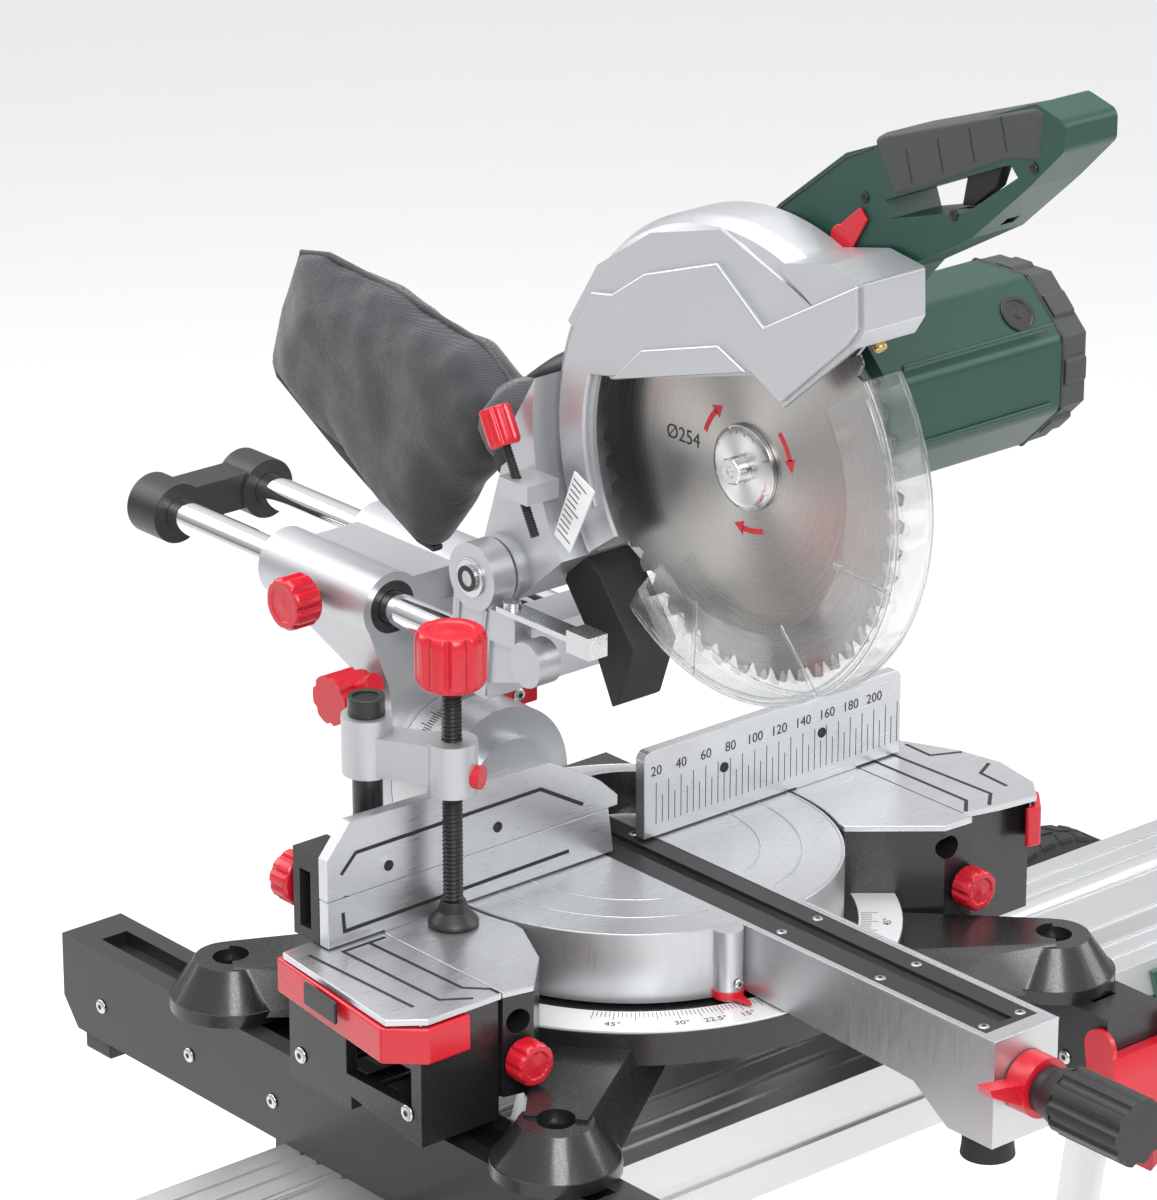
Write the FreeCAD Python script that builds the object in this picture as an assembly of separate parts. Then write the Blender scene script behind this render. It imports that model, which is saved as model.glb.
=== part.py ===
import FreeCAD, Part
import math
import os

# Sliding compound mitre saw bolted to a folding, telescoping work stand.
# Millimetres. +X runs along the fence, +Y to the rear, +Z up. The floor is Z = 0.
# The saw is drawn in its own table frame (turntable axis at the origin, table top at
# Z = 0) and is lifted by TABLE_Z when it is saved.

os.makedirs("parts", exist_ok=True)
Vec = FreeCAD.Vector

# ---------------------------------------------------------------- driving sizes
STAND_TOP = 800.0          # top of the machine arms
SAW_FOOT_DROP = 88.0       # table top above the saw's feet
TABLE_Z = STAND_TOP + SAW_FOOT_DROP

RAIL_Y = -20.0             # centre line of the stand rail
RAIL_HALF_LENGTH = 530.0
RAIL_WIDTH = 154.0
RAIL_HEIGHT = 56.0
RAIL_WALL = 4.0
CHANNEL_HALF = 24.0        # half width of the channel that the roller tubes slide in
ARM_HEIGHT = 60.0
ARM_WIDTH = 45.0
ARM_X = 200.0
ARM_FRONT = -230.0
ARM_REAR = 280.0
RAIL_TOP = STAND_TOP - ARM_HEIGHT
RAIL_BOTTOM = RAIL_TOP - RAIL_HEIGHT
TUBE_Z = RAIL_BOTTOM + RAIL_HEIGHT / 2

BRACKET_X = 430.0          # leg pivots, left and right of the middle
BRACKET_HALF_WIDTH = 75.0
BRACKET_BOTTOM = 560.0
SHEET = 3.0
LEG_PIVOT_Z = {"left": 600.0, "right": 636.0}
LEG_PIVOT_Y = 30.0
LEG_RADIUS = 15.0
LEG_SPLAY_X = 14.0         # degrees outward, along the rail
LEG_SPLAY_Y = 20.0         # degrees outward, front and rear
PIVOT_PIN_RADIUS = 5.0
HINGE_GAP = 0.3

CLAMP_PIN_INSET = 3.0      # clamp lever pin, behind the arm's front face
CLAMP_PIN_DROP = 18.0      # and below its top

ROLLER_X = 722.0
ROLLER_AXIS_Z = TABLE_Z - 20.0
ROLLER_RADIUS = 20.0
ROLLER_HALF_LENGTH = 158.0
POST_HALF = 16.0
SLEEVE_HALF = 20.0

WHEEL_RADIUS = 95.0
WHEEL_X = 548.0
WHEEL_Z = 580.0
WHEEL_TRACK = 420.0
WHEEL_WIDTH = 38.0

TURNTABLE_RADIUS = 128.6
TURNTABLE_DEPTH = 43.5
TABLE_GAP_RADIUS = 131.0
BASE_RADIUS = 165.0
SCALE_INNER_RADIUS = 137.5
PLATE_THICKNESS = 4.0
FENCE_THICKNESS = 8.0
FENCE_SEAM = 30.0
RIGHT_FENCE_HEIGHT = 57.0
KNOB_GRIP_FLUTES = 8

TRUNNION_RADIUS = 52.0
TRUNNION_FRONT = 120.0
TRUNNION_BACK = 165.0
RAIL_TUBE_RADIUS = 10.75
RAIL_TUBE_X = 36.0
RAIL_TUBE_Z = 110.0
BUSH_RADIUS = 17.0
HOUSING_RADIUS = 22.5
HOUSING_FRONT = 182.0
HOUSING_BACK = 288.0
BEVEL_KNOB_Y = 188.0
BEVEL_KNOB_Z = 58.0
RUNNING_FIT = 0.05

CHOP_Y = 72.0              # chop pivot, an axis along X
CHOP_Z = 168.0
BLADE_Y = -101.0
BLADE_Z = 270.0
BLADE_RADIUS = 127.0
BLADE_HALF = 1.3
BLADE_TEETH = 48
GUARD_RADIUS = 139.0
COVER_INNER = 142.0
COVER_RADIUS = 150.0
COVER_LEFT = -24.0
COVER_RIGHT = 22.0
COVER_WALL = 3.0
MOTOR_Y = -100.0
MOTOR_Z = 295.0
MOTOR_CORNER = 57.0        # corner radius of the eight-sided motor
MOTOR_END = 200.0          # seam between the motor shell and its end cap
HANDLE_X = 45.0

CLAMP_SCREW = (-152.0, -17.0)
CLAMP_POST = (-177.0, 30.0)

SADDLE_BOLTS = {
    "front_left": (-197.0, -162.0),
    "rear_left": (-203.0, 132.0),
    "front_right": (195.0, -166.0),
    "rear_right": (203.0, 132.0),
}


# ---------------------------------------------------------------- shape helpers
def box(x_span, y_span, z_span):
    corner = Vec(x_span[0], y_span[0], z_span[0])
    return Part.makeBox(x_span[1] - x_span[0], y_span[1] - y_span[0],
                        z_span[1] - z_span[0], corner)


def rod(start, end, radius):
    start, end = Vec(*start), Vec(*end)
    return Part.makeCylinder(radius, (end - start).Length, start, end - start)


def cone(start, end, radius_start, radius_end):
    start, end = Vec(*start), Vec(*end)
    return Part.makeCone(radius_start, radius_end, (end - start).Length, start, end - start)


def pipe(start, end, outer, inner):
    return rod(start, end, outer).cut(rod(start, end, inner))


def fuse(shapes):
    whole = shapes[0]
    for shape in shapes[1:]:
        whole = whole.fuse(shape)
    return whole.removeSplitter()


def cut(shape, tools):
    for tool in tools:
        shape = shape.cut(tool)
    return shape


def place(axis, along, point):
    u, v = point
    if axis == "X":
        return Vec(along, u, v)
    if axis == "Y":
        return Vec(u, along, v)
    return Vec(u, v, along)


DIRECTION = {"X": Vec(1, 0, 0), "Y": Vec(0, 1, 0), "Z": Vec(0, 0, 1)}


def corner_edges(points, radius):
    """Straight edges with a tangent arc of the given radius at every corner."""
    count = len(points)
    starts, ends, arcs = [], [], []
    for i in range(count):
        before, here, after = points[i - 1], points[i], points[(i + 1) % count]
        back = (before - here).normalize()
        ahead = (after - here).normalize()
        half = back.getAngle(ahead) / 2
        reach = radius / math.tan(half)
        inward = (back + ahead).normalize()
        middle = here + inward * (radius / math.sin(half) - radius)
        ends.append(here + back * reach)
        starts.append(here + ahead * reach)
        arcs.append(Part.Arc(ends[-1], middle, starts[-1]).toShape())
    edges = []
    for i in range(count):
        edges.append(arcs[i])
        edges.append(Part.LineSegment(starts[i], ends[(i + 1) % count]).toShape())
    return edges


def plate(points, axis, span, radius=0.0):
    """A flat outline, given across the axis, pushed from span[0] to span[1]."""
    corners = [place(axis, span[0], p) for p in points]
    if radius:
        wire = Part.Wire(Part.__sortEdges__(corner_edges(corners, radius)))
    else:
        wire = Part.makePolygon(corners + corners[:1])
    return Part.Face(wire).extrude(DIRECTION[axis] * (span[1] - span[0]))


def ring_sector(profile, centre_y, centre_z, start_deg, sweep_deg):
    """Turn an (x, radius) profile about an X axis. 0 deg points to the front (-Y)."""
    corners = [Vec(x, centre_y - r, centre_z) for x, r in profile]
    face = Part.Face(Part.makePolygon(corners + corners[:1]))
    pivot, axis = Vec(0, centre_y, centre_z), Vec(-1, 0, 0)
    face.rotate(pivot, axis, start_deg)
    return face.revolve(pivot, axis, sweep_deg)


def knob(start, end, radius, flutes=KNOB_GRIP_FLUTES):
    """A round hand knob with scooped flutes down its side."""
    start, end = Vec(*start), Vec(*end)
    axis = (end - start).normalize()
    body = Part.makeCylinder(radius, (end - start).Length, start, axis)
    side = axis.cross(Vec(0.31, 0.52, 0.79)).normalize()
    for i in range(flutes):
        out = FreeCAD.Rotation(axis, 360.0 * i / flutes).multVec(side)
        scoop = Part.makeCylinder(radius * 0.24, (end - start).Length,
                                  start + out * radius * 1.14, axis)
        body = body.cut(scoop)
    return body


def bent_tube(points, radius):
    """Straight tube runs joined by round elbows."""
    runs = [rod(a, b, radius) for a, b in zip(points, points[1:])]
    elbows = [Part.makeSphere(radius, Vec(*p)) for p in points[1:-1]]
    return fuse(runs + elbows)


def save(name, solids, lift=0.0):
    whole = Part.makeCompound([s.copy() for s in solids])
    whole.translate(Vec(0, 0, lift))
    whole.exportStep("parts/" + name + ".step")


def save_saw(name, solids):
    save(name, solids, TABLE_Z)


# ---------------------------------------------------------------- stand: fixed frame
RAIL_FRONT = RAIL_Y - RAIL_WIDTH / 2
RAIL_REAR = RAIL_Y + RAIL_WIDTH / 2


def stand_rail():
    """Aluminium beam: two grooved box sections, with a ribbed lid and a floor between them."""
    half = RAIL_WIDTH / 2
    span = (-RAIL_HALF_LENGTH, RAIL_HALF_LENGTH)
    channel = (RAIL_Y - CHANNEL_HALF, RAIL_Y + CHANNEL_HALF)
    sections = []
    for side in (-1, 1):
        inner, outer = CHANNEL_HALF, half
        section = box(span, sorted((RAIL_Y + side * inner, RAIL_Y + side * outer)),
                      (RAIL_BOTTOM, RAIL_TOP))
        chamber = sorted((RAIL_Y + side * (inner + RAIL_WALL), RAIL_Y + side * (outer - RAIL_WALL)))
        groove = sorted((RAIL_Y + side * (outer - 2.5), RAIL_Y + side * outer))
        hollows = [box(span, chamber, (RAIL_BOTTOM + RAIL_WALL, RAIL_TOP - RAIL_WALL)),
                   box(span, groove, (RAIL_BOTTOM + 22, RAIL_BOTTOM + 30))]
        for step in (44, 60):
            y_mid = RAIL_Y + side * step
            hollows.append(box(span, (y_mid - 2, y_mid + 2), (RAIL_TOP - 1.5, RAIL_TOP)))
        sections.append(cut(section, hollows))
    lid = box(span, channel, (RAIL_TOP - RAIL_WALL, RAIL_TOP))
    lid = cut(lid, [box(span, (RAIL_Y + step - 2, RAIL_Y + step + 2), (RAIL_TOP - 1.5, RAIL_TOP))
                    for step in (-20, 20)])
    floor = box(span, channel, (RAIL_BOTTOM, RAIL_BOTTOM + RAIL_WALL))
    return sections + [lid, floor]


def rail_end_caps():
    """Black moulded collars that close the rail round the telescoping tubes."""
    caps = []
    for side in (-1, 1):
        x_span = sorted((side * RAIL_HALF_LENGTH, side * (RAIL_HALF_LENGTH + 14)))
        body = box(x_span, (RAIL_FRONT - 2, RAIL_REAR + 2), (RAIL_BOTTOM - 2, RAIL_TOP + 2))
        window = box(x_span, (RAIL_Y - 16, RAIL_Y + 16), (TUBE_Z - 22, TUBE_Z + 22))
        caps.append(body.cut(window))
    return caps


def leg_hinge_axis(facing):
    """Unit direction of a leg's hinge. facing is -1 at the front, +1 at the rear."""
    tilt = math.radians(LEG_SPLAY_Y)
    return Vec(0, math.cos(tilt), facing * math.sin(tilt))


def leg_pivot(side, facing):
    name = "left" if side < 0 else "right"
    return Vec(side * BRACKET_X, RAIL_Y + facing * LEG_PIVOT_Y, LEG_PIVOT_Z[name])


def leg_brackets():
    """Folded green steel brackets under both rail ends, each with two leg pins."""
    brackets = []
    for side in (-1, 1):
        inner, outer = side * (BRACKET_X - 75), side * (BRACKET_X + 75)
        low_in, low_out = side * (BRACKET_X - 48), side * (BRACKET_X + 40)
        outline = [(inner, RAIL_TOP - 8), (inner - side * 12, 640), (low_in, BRACKET_BOTTOM),
                   (low_out, BRACKET_BOTTOM), (outer, 600), (outer, RAIL_TOP - 8)]
        if side > 0:
            outline = [(inner, RAIL_TOP - 8), (inner + 30, 640), (low_in + 8, BRACKET_BOTTOM),
                       (WHEEL_X + 6, BRACKET_BOTTOM), (WHEEL_X + 22, 574),
                       (WHEEL_X + 16, 596), (outer, 612), (outer, RAIL_TOP - 8)]
        front = plate(outline, "Y", (RAIL_FRONT - SHEET, RAIL_FRONT))
        rear = plate(outline, "Y", (RAIL_REAR, RAIL_REAR + SHEET))
        x_web = sorted((side * (BRACKET_X + 72), side * (BRACKET_X + 75)))
        web_low = 600.0 if side < 0 else 612.0
        web = box(x_web, (RAIL_FRONT - SHEET, RAIL_REAR + SHEET), (web_low, RAIL_BOTTOM))
        x_top = sorted((side * (BRACKET_X - 70), side * (BRACKET_X + 75)))
        roof = box(x_top, (RAIL_FRONT - SHEET, RAIL_REAR + SHEET),
                   (RAIL_BOTTOM - SHEET, RAIL_BOTTOM))
        pins = []
        for facing in (-1, 1):
            pivot, axis = leg_pivot(side, facing), leg_hinge_axis(facing)
            wall = RAIL_FRONT if facing < 0 else RAIL_REAR
            reach = abs((wall - pivot.y) / axis.y)
            outward = axis * facing
            pins.append(rod(pivot - outward * 13, pivot + outward * (reach + 1),
                            PIVOT_PIN_RADIUS))
        whole = fuse([front, rear, web, roof] + pins)
        if side > 0:
            whole = whole.cut(rod((WHEEL_X, -300, WHEEL_Z), (WHEEL_X, 300, WHEEL_Z), 8.0))
        brackets.append(whole)
    return brackets


def machine_arms():
    """Two slotted beams across the rail that the saw's feet bolt down to."""
    beams = []
    for side in (-1, 1):
        x_mid = side * ARM_X
        half = ARM_WIDTH / 2
        body = plate([(ARM_FRONT, STAND_TOP - 42), (ARM_FRONT + 14, RAIL_TOP),
                      (ARM_REAR - 14, RAIL_TOP), (ARM_REAR, STAND_TOP - 42),
                      (ARM_REAR, STAND_TOP), (ARM_FRONT, STAND_TOP)],
                     "X", (x_mid - half, x_mid + half))
        slot = box((x_mid - 9.5, x_mid + 9.5), (ARM_FRONT + 24, ARM_REAR - 24),
                   (STAND_TOP - 9, STAND_TOP))
        body = body.cut(slot)
        jaws = []
        for wall, facing in ((RAIL_FRONT, -1), (RAIL_REAR, 1)):
            y_span = sorted((wall + facing * 0.2, wall + facing * 12))
            jaws.append(box((x_mid - 20, x_mid + 20), y_span, (RAIL_TOP - 20, RAIL_TOP + 1)))
        beams.append(fuse([body] + jaws))
    return beams


def trolley_handles():
    """Black tube loops: a pull handle on the left bracket, a carry loop mid rail."""
    wall = -(BRACKET_X + 75)
    pull = bent_tube([(wall, RAIL_Y - 52, 640), (wall - 78, RAIL_Y - 52, 622),
                      (wall - 128, RAIL_Y - 40, 548), (wall - 128, RAIL_Y + 40, 548),
                      (wall - 78, RAIL_Y + 52, 622), (wall, RAIL_Y + 52, 640)], 9)
    carry = bent_tube([(-70, RAIL_Y, RAIL_BOTTOM), (-52, RAIL_Y, 634), (-34, RAIL_Y, 622),
                       (54, RAIL_Y, 622), (72, RAIL_Y, 634), (90, RAIL_Y, RAIL_BOTTOM)], 8)
    return [pull.cut(box((wall, 0), (-200, 200), (500, 700))),
            carry.cut(box((-200, 200), (-100, 100), (RAIL_BOTTOM, 760)))]


def wheel_axle():
    half = WHEEL_TRACK / 2 + WHEEL_WIDTH / 2 + 8
    axle = rod((WHEEL_X, RAIL_Y - half, WHEEL_Z), (WHEEL_X, RAIL_Y + half, WHEEL_Z), 8)
    collars = []
    for facing in (-1, 1):
        inner = RAIL_Y + facing * (WHEEL_TRACK / 2 - WHEEL_WIDTH / 2 - 1)
        outer = RAIL_Y + facing * (half - 5)
        collars.append(rod((WHEEL_X, inner - facing * 6, WHEEL_Z), (WHEEL_X, inner, WHEEL_Z), 13))
        collars.append(rod((WHEEL_X, outer, WHEEL_Z), (WHEEL_X, outer + facing * 5, WHEEL_Z), 12))
    return [fuse([axle] + collars)]


def stand_latches():
    """Red leg latches hooked under the brackets and a tube lock lever at each rail end."""
    pieces = []
    for side in (-1, 1):
        for facing in (-1, 1):
            y_mid = RAIL_Y + facing * 46
            x_mid = side * (BRACKET_X + 66)
            outline = [(x_mid - side * 4, 612), (x_mid + side * 6, 612), (x_mid + side * 6, 560),
                       (x_mid + side * 1, 506), (x_mid - side * 8, 500), (x_mid - side * 7, 556)]
            pieces.append(plate(outline, "Y", (y_mid - 9, y_mid + 9)))
        x_low, x_high = side * (RAIL_HALF_LENGTH - 22), side * (RAIL_HALF_LENGTH + 13)
        outline = [(x_high, RAIL_TOP + 2), (x_high, RAIL_TOP + 9), (x_low - side * 4, RAIL_TOP + 9),
                   (x_low - side * 22, RAIL_TOP - 36), (x_low - side * 10, RAIL_TOP - 42),
                   (x_low + side * 8, RAIL_TOP + 2)]
        pieces.append(plate(outline, "Y", (RAIL_FRONT - 18, RAIL_FRONT - SHEET - 0.5)))
    return pieces


# ---------------------------------------------------------------- stand: moving pieces
def leg(side, facing):
    """One folding leg: knuckle, round tube and foot, splayed outward and sideways."""
    pivot = leg_pivot(side, facing)
    hinge = leg_hinge_axis(facing)
    down = Vec(0, facing * math.sin(math.radians(LEG_SPLAY_Y)),
               -math.cos(math.radians(LEG_SPLAY_Y)))
    lean = math.radians(LEG_SPLAY_X)
    run = down * math.cos(lean) + Vec(side, 0, 0) * math.sin(lean)
    length = pivot.z / -run.z
    foot_top = pivot + run * (length - 46)
    knuckle_end = pivot + run * 34
    knuckle = fuse([rod(pivot - hinge * 12, pivot + hinge * 12, 14),
                    rod(pivot, knuckle_end, 12.5)])
    knuckle = knuckle.cut(rod(pivot - hinge * 40, pivot + hinge * 40,
                              PIVOT_PIN_RADIUS + HINGE_GAP))
    tube = rod(knuckle_end, foot_top, LEG_RADIUS)
    foot = rod(foot_top, pivot + run * (length + 30), 18)
    foot = foot.cut(box((-900, 900), (-600, 600), (-80, 0)))
    pieces = [knuckle, tube, foot]
    if side > 0 and facing < 0:
        split = pivot + run * (length - 20)
        cap = rod(foot_top, split, 18)
        tip = rod(split, pivot + run * (length + 30), 17)
        tip = tip.cut(box((-900, 900), (-600, 600), (-80, 0)))
        pieces = [knuckle, tube, cap, tip]
    return pieces


def roller_arm(side):
    """Telescoping tube with the upright sleeve and its red lock knob."""
    x_in, x_out = side * 230.0, side * (ROLLER_X - SLEEVE_HALF)
    tube = box(sorted((x_in, x_out)), (RAIL_Y - 15, RAIL_Y + 15), (TUBE_Z - 21, TUBE_Z + 21))
    tube = tube.cut(box(sorted((x_in, x_out - side * 30)), (RAIL_Y - 12.5, RAIL_Y + 12.5),
                        (TUBE_Z - 18.5, TUBE_Z + 18.5)))
    x_mid = side * ROLLER_X
    sleeve = box((x_mid - SLEEVE_HALF, x_mid + SLEEVE_HALF),
                 (RAIL_Y - SLEEVE_HALF, RAIL_Y + SLEEVE_HALF), (TUBE_Z - 57, TUBE_Z + 63))
    bore = POST_HALF + 0.6
    sleeve = sleeve.cut(box((x_mid - bore, x_mid + bore), (RAIL_Y - bore, RAIL_Y + bore),
                            (TUBE_Z - 57, TUBE_Z + 63)))
    y_face = RAIL_Y - SLEEVE_HALF
    lock = fuse([rod((x_mid, y_face, TUBE_Z + 46), (x_mid, y_face - 12, TUBE_Z + 46), 5),
                 knob((x_mid, y_face - 10, TUBE_Z + 46), (x_mid, y_face - 28, TUBE_Z + 46), 15)])
    return [fuse([tube, sleeve]), lock]


def roller_frame(side):
    """Post and U channel that carry the work roller."""
    x_mid = side * ROLLER_X
    channel_low = ROLLER_AXIS_Z - ROLLER_RADIUS - 7
    post = box((x_mid - POST_HALF, x_mid + POST_HALF), (RAIL_Y - POST_HALF, RAIL_Y + POST_HALF),
               (TUBE_Z - 81, channel_low))
    post = post.cut(box((x_mid - 13.5, x_mid + 13.5), (RAIL_Y - 13.5, RAIL_Y + 13.5),
                        (TUBE_Z - 81, channel_low - 4)))
    half = ROLLER_HALF_LENGTH + 4
    outer = box((x_mid - 25, x_mid + 25), (RAIL_Y - half, RAIL_Y + half),
                (channel_low, ROLLER_AXIS_Z + 6))
    inner = box((x_mid - 22.5, x_mid + 22.5), (RAIL_Y - half, RAIL_Y + half),
                (channel_low + 3, ROLLER_AXIS_Z + 20))
    channel = outer.cut(inner)
    cheeks = []
    for facing in (-1, 1):
        y_span = sorted((RAIL_Y + facing * half, RAIL_Y + facing * (half + 7)))
        cheek = plate([(x_mid - 26, channel_low - 2), (x_mid + 26, channel_low - 2),
                       (x_mid + 26, ROLLER_AXIS_Z + 4), (x_mid + 15, ROLLER_AXIS_Z + 17),
                       (x_mid - 15, ROLLER_AXIS_Z + 17), (x_mid - 26, ROLLER_AXIS_Z + 4)],
                      "Y", y_span)
        cheeks.append(cheek.cut(rod((x_mid, y_span[0], ROLLER_AXIS_Z),
                                    (x_mid, y_span[1], ROLLER_AXIS_Z), 5 + RUNNING_FIT)))
    return [fuse([post, channel])] + cheeks


def roller(side):
    x_mid = side * ROLLER_X
    half = ROLLER_HALF_LENGTH
    barrel = rod((x_mid, RAIL_Y - half, ROLLER_AXIS_Z), (x_mid, RAIL_Y + half, ROLLER_AXIS_Z),
                 ROLLER_RADIUS)
    stub = rod((x_mid, RAIL_Y - half - 14, ROLLER_AXIS_Z),
               (x_mid, RAIL_Y + half + 14, ROLLER_AXIS_Z), 5)
    return [fuse([barrel, stub])]


def wheel(facing):
    """Plastic rim with six spokes between tapered windows, and a black tyre as its own solid."""
    y_mid = RAIL_Y + facing * WHEEL_TRACK / 2
    half = WHEEL_WIDTH / 2
    front, back = (WHEEL_X, y_mid - half, WHEEL_Z), (WHEEL_X, y_mid + half, WHEEL_Z)
    tyre = pipe(front, back, WHEEL_RADIUS, 66)
    tyre = tyre.makeChamfer(6, [e for e in tyre.Edges
                                if e.Closed and e.Curve.TypeId == "Part::GeomCircle"
                                and e.Curve.Radius > 90])
    rim = pipe(front, back, 66, 58)
    hub = rod(front, back, 18)
    disc = rod((WHEEL_X, y_mid - 4, WHEEL_Z), (WHEEL_X, y_mid + 4, WHEEL_Z), 60)
    windows = []
    for i in range(6):
        turn = math.radians(60 * i + 30)
        out_x, out_z = math.cos(turn), math.sin(turn)
        corners = [(WHEEL_X + reach * out_x - half_width * out_z,
                    WHEEL_Z + reach * out_z + half_width * out_x)
                   for reach, half_width in ((24, -4), (24, 4), (52, 14), (52, -14))]
        windows.append(plate(corners, "Y", (y_mid - 8, y_mid + 8)))
    disc = cut(disc, windows)
    bore = rod(front, back, 8 + RUNNING_FIT)
    return [fuse([rim, hub, disc]).cut(bore), tyre]


def arm_clamp_lever(side):
    """Big red cam lever that wraps the front end of a machine arm."""
    x_mid = side * ARM_X
    half = ARM_WIDTH / 2
    y_face = ARM_FRONT - 0.6
    y_pin, z_pin = ARM_FRONT + CLAMP_PIN_INSET, STAND_TOP - CLAMP_PIN_DROP
    front = plate([(y_face, z_pin - 4), (y_face - 8, z_pin - 4), (y_face - 12, z_pin - 18),
                   (y_face - 14, STAND_TOP - 82), (y_face - 5, STAND_TOP - 86),
                   (y_face, STAND_TOP - 60)], "X", (x_mid - half - 4, x_mid + half + 4))
    cheeks = []
    for span in ((x_mid - half - 4, x_mid - half - 0.5), (x_mid + half + 0.5, x_mid + half + 4)):
        cheeks.append(rod((span[0], y_pin, z_pin), (span[1], y_pin, z_pin), 12))
        cheeks.append(plate([(y_face - 8, z_pin - 4), (y_pin, z_pin + 12), (y_pin + 12, z_pin),
                             (y_pin + 8, z_pin - 26), (y_face - 4, z_pin - 34)], "X", span))
    return [fuse([front] + cheeks)]


# ---------------------------------------------------------------- saw: base and fence
LEFT_TABLE = [(-190.6, 17), (-190.6, -108), (-171, -112), (-144, -85), (-126, -49), (-118, 17)]
RIGHT_TABLE = [(118, 17), (118, -61), (165, -101), (187, -102), (187, 17)]
LEFT_EXTENSION = [(-191.4, 17), (-191.4, -108), (-245, -108), (-264, -93), (-252, 16), (-238, 17)]
RIGHT_EXTENSION = [(187.8, 17), (187.8, -93), (213, -99), (241, -103), (254, -87), (261, -51),
                   (255, -21), (237, 17)]
EXTENSION_RODS_Y = (-32.0, 6.0)
EXTENSION_ROD_Z = -73.0


def table_outline(points, z_span):
    """A table half with the round clearance for the turntable cut away."""
    return plate(points, "Z", z_span).cut(rod((0, 0, -90), (0, 0, 5), TABLE_GAP_RADIUS))


def foot_arm(bolt):
    """A base leg that runs out to a round foot with a bolt recess."""
    x, y = bolt
    reach = math.hypot(x, y)
    ux, uy = x / reach, y / reach
    wires = []
    for z, inner, half_in, half_out in ((-84.0, 112, 42, 32), (-56.0, 118, 32, 18)):
        start, stop = (ux * inner, uy * inner), (x, y)
        corners = [(start[0] - uy * half_in, start[1] + ux * half_in),
                   (stop[0] - uy * half_out, stop[1] + ux * half_out),
                   (stop[0] + uy * half_out, stop[1] - ux * half_out),
                   (start[0] + uy * half_in, start[1] - ux * half_in)]
        points = [Vec(cx, cy, z) for cx, cy in corners]
        wires.append(Part.makePolygon(points + points[:1]))
    arm = Part.makeLoft(wires, True, True)
    skirt = rod((x, y, -88), (x, y, -80), 38)
    dome = cone((x, y, -80), (x, y, -58), 37, 22)
    bolt_hole = rod((x, y, -90), (x, y, -40), 4.5)
    recess = rod((x, y, -74), (x, y, -40), 11)
    return fuse([arm, skirt, dome]).cut(fuse([bolt_hole, recess]))


def base_casting():
    """Black die-cast base: ring under the turntable, table boxes, rod guides and feet."""
    ring = rod((0, 0, -66), (0, 0, -46), BASE_RADIUS)
    ring = ring.cut(box((-200, 200), (22, 200), (-70, -40)))
    floor_disc = rod((0, 0, -66), (0, 0, -57), BASE_RADIUS - 12)
    spindle = rod((0, 0, -60), (0, 0, -32), 20)
    left = table_outline(LEFT_TABLE, (-66, -PLATE_THICKNESS))
    left = left.cut(box((-184, -146), (-82, 10), (-67, -12)))
    right = table_outline(RIGHT_TABLE, (-66, -PLATE_THICKNESS))
    right = right.cut(box((146, 172), (-74, 10), (-67, -12)))
    guides = []
    for y in EXTENSION_RODS_Y:
        for x_span in ((-188, -140), (140, 185)):
            guides.append(box(x_span, (y - 10, y + 10), (-82, -64)))
    feet = [foot_arm(bolt) for bolt in SADDLE_BOLTS.values()]
    whole = fuse([ring, floor_disc, spindle, left, right] + guides + feet)
    pockets = []
    for y in EXTENSION_RODS_Y:
        pockets.append(rod((-260, y, EXTENSION_ROD_Z), (260, y, EXTENSION_ROD_Z), 5 + RUNNING_FIT))
    pockets.append(rod((-181, -114, -20), (-181, -88, -20), 7.5))
    pockets.append(rod((168, -104, -15), (168, -80, -15), 7.5))
    pockets.append(rod((-181, -120, -42), (-181, -84, -42), 4.1))
    pockets.append(rod((180, -110, -42), (180, -76, -42), 4.1))
    return [cut(whole, pockets)]


def clamp_socket():
    """Boss behind the left table that takes the work clamp's post."""
    x, y = CLAMP_POST
    return fuse([rod((x, y, -66), (x, y, -8), 17), box((x - 14, x + 13.6), (10, y), (-64, -10))])


def saddle_bolts():
    """Four cap screws that hold the saw's feet to the machine arms."""
    bolts = []
    for x, y in SADDLE_BOLTS.values():
        bolts.append(fuse([rod((x, y, -95), (x, y, -74), 4), rod((x, y, -74), (x, y, -67), 7)]))
    return bolts


def mitre_scale():
    """Bright scale ring screwed to the front half of the base ring."""
    ring = rod((0, 0, -46), (0, 0, -44.4), BASE_RADIUS - 1)
    ring = ring.cut(rod((0, 0, -50), (0, 0, -40), SCALE_INNER_RADIUS))
    ring = ring.cut(box((-200, 200), (16, 200), (-50, -40)))
    ring = ring.cut(table_outline(LEFT_TABLE, (-60, -4)))
    ring = ring.cut(table_outline(RIGHT_TABLE, (-60, -4)))
    return [ring]


def table_tops():
    return [table_outline(points, (-PLATE_THICKNESS, 0)) for points in (LEFT_TABLE, RIGHT_TABLE)]


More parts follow.
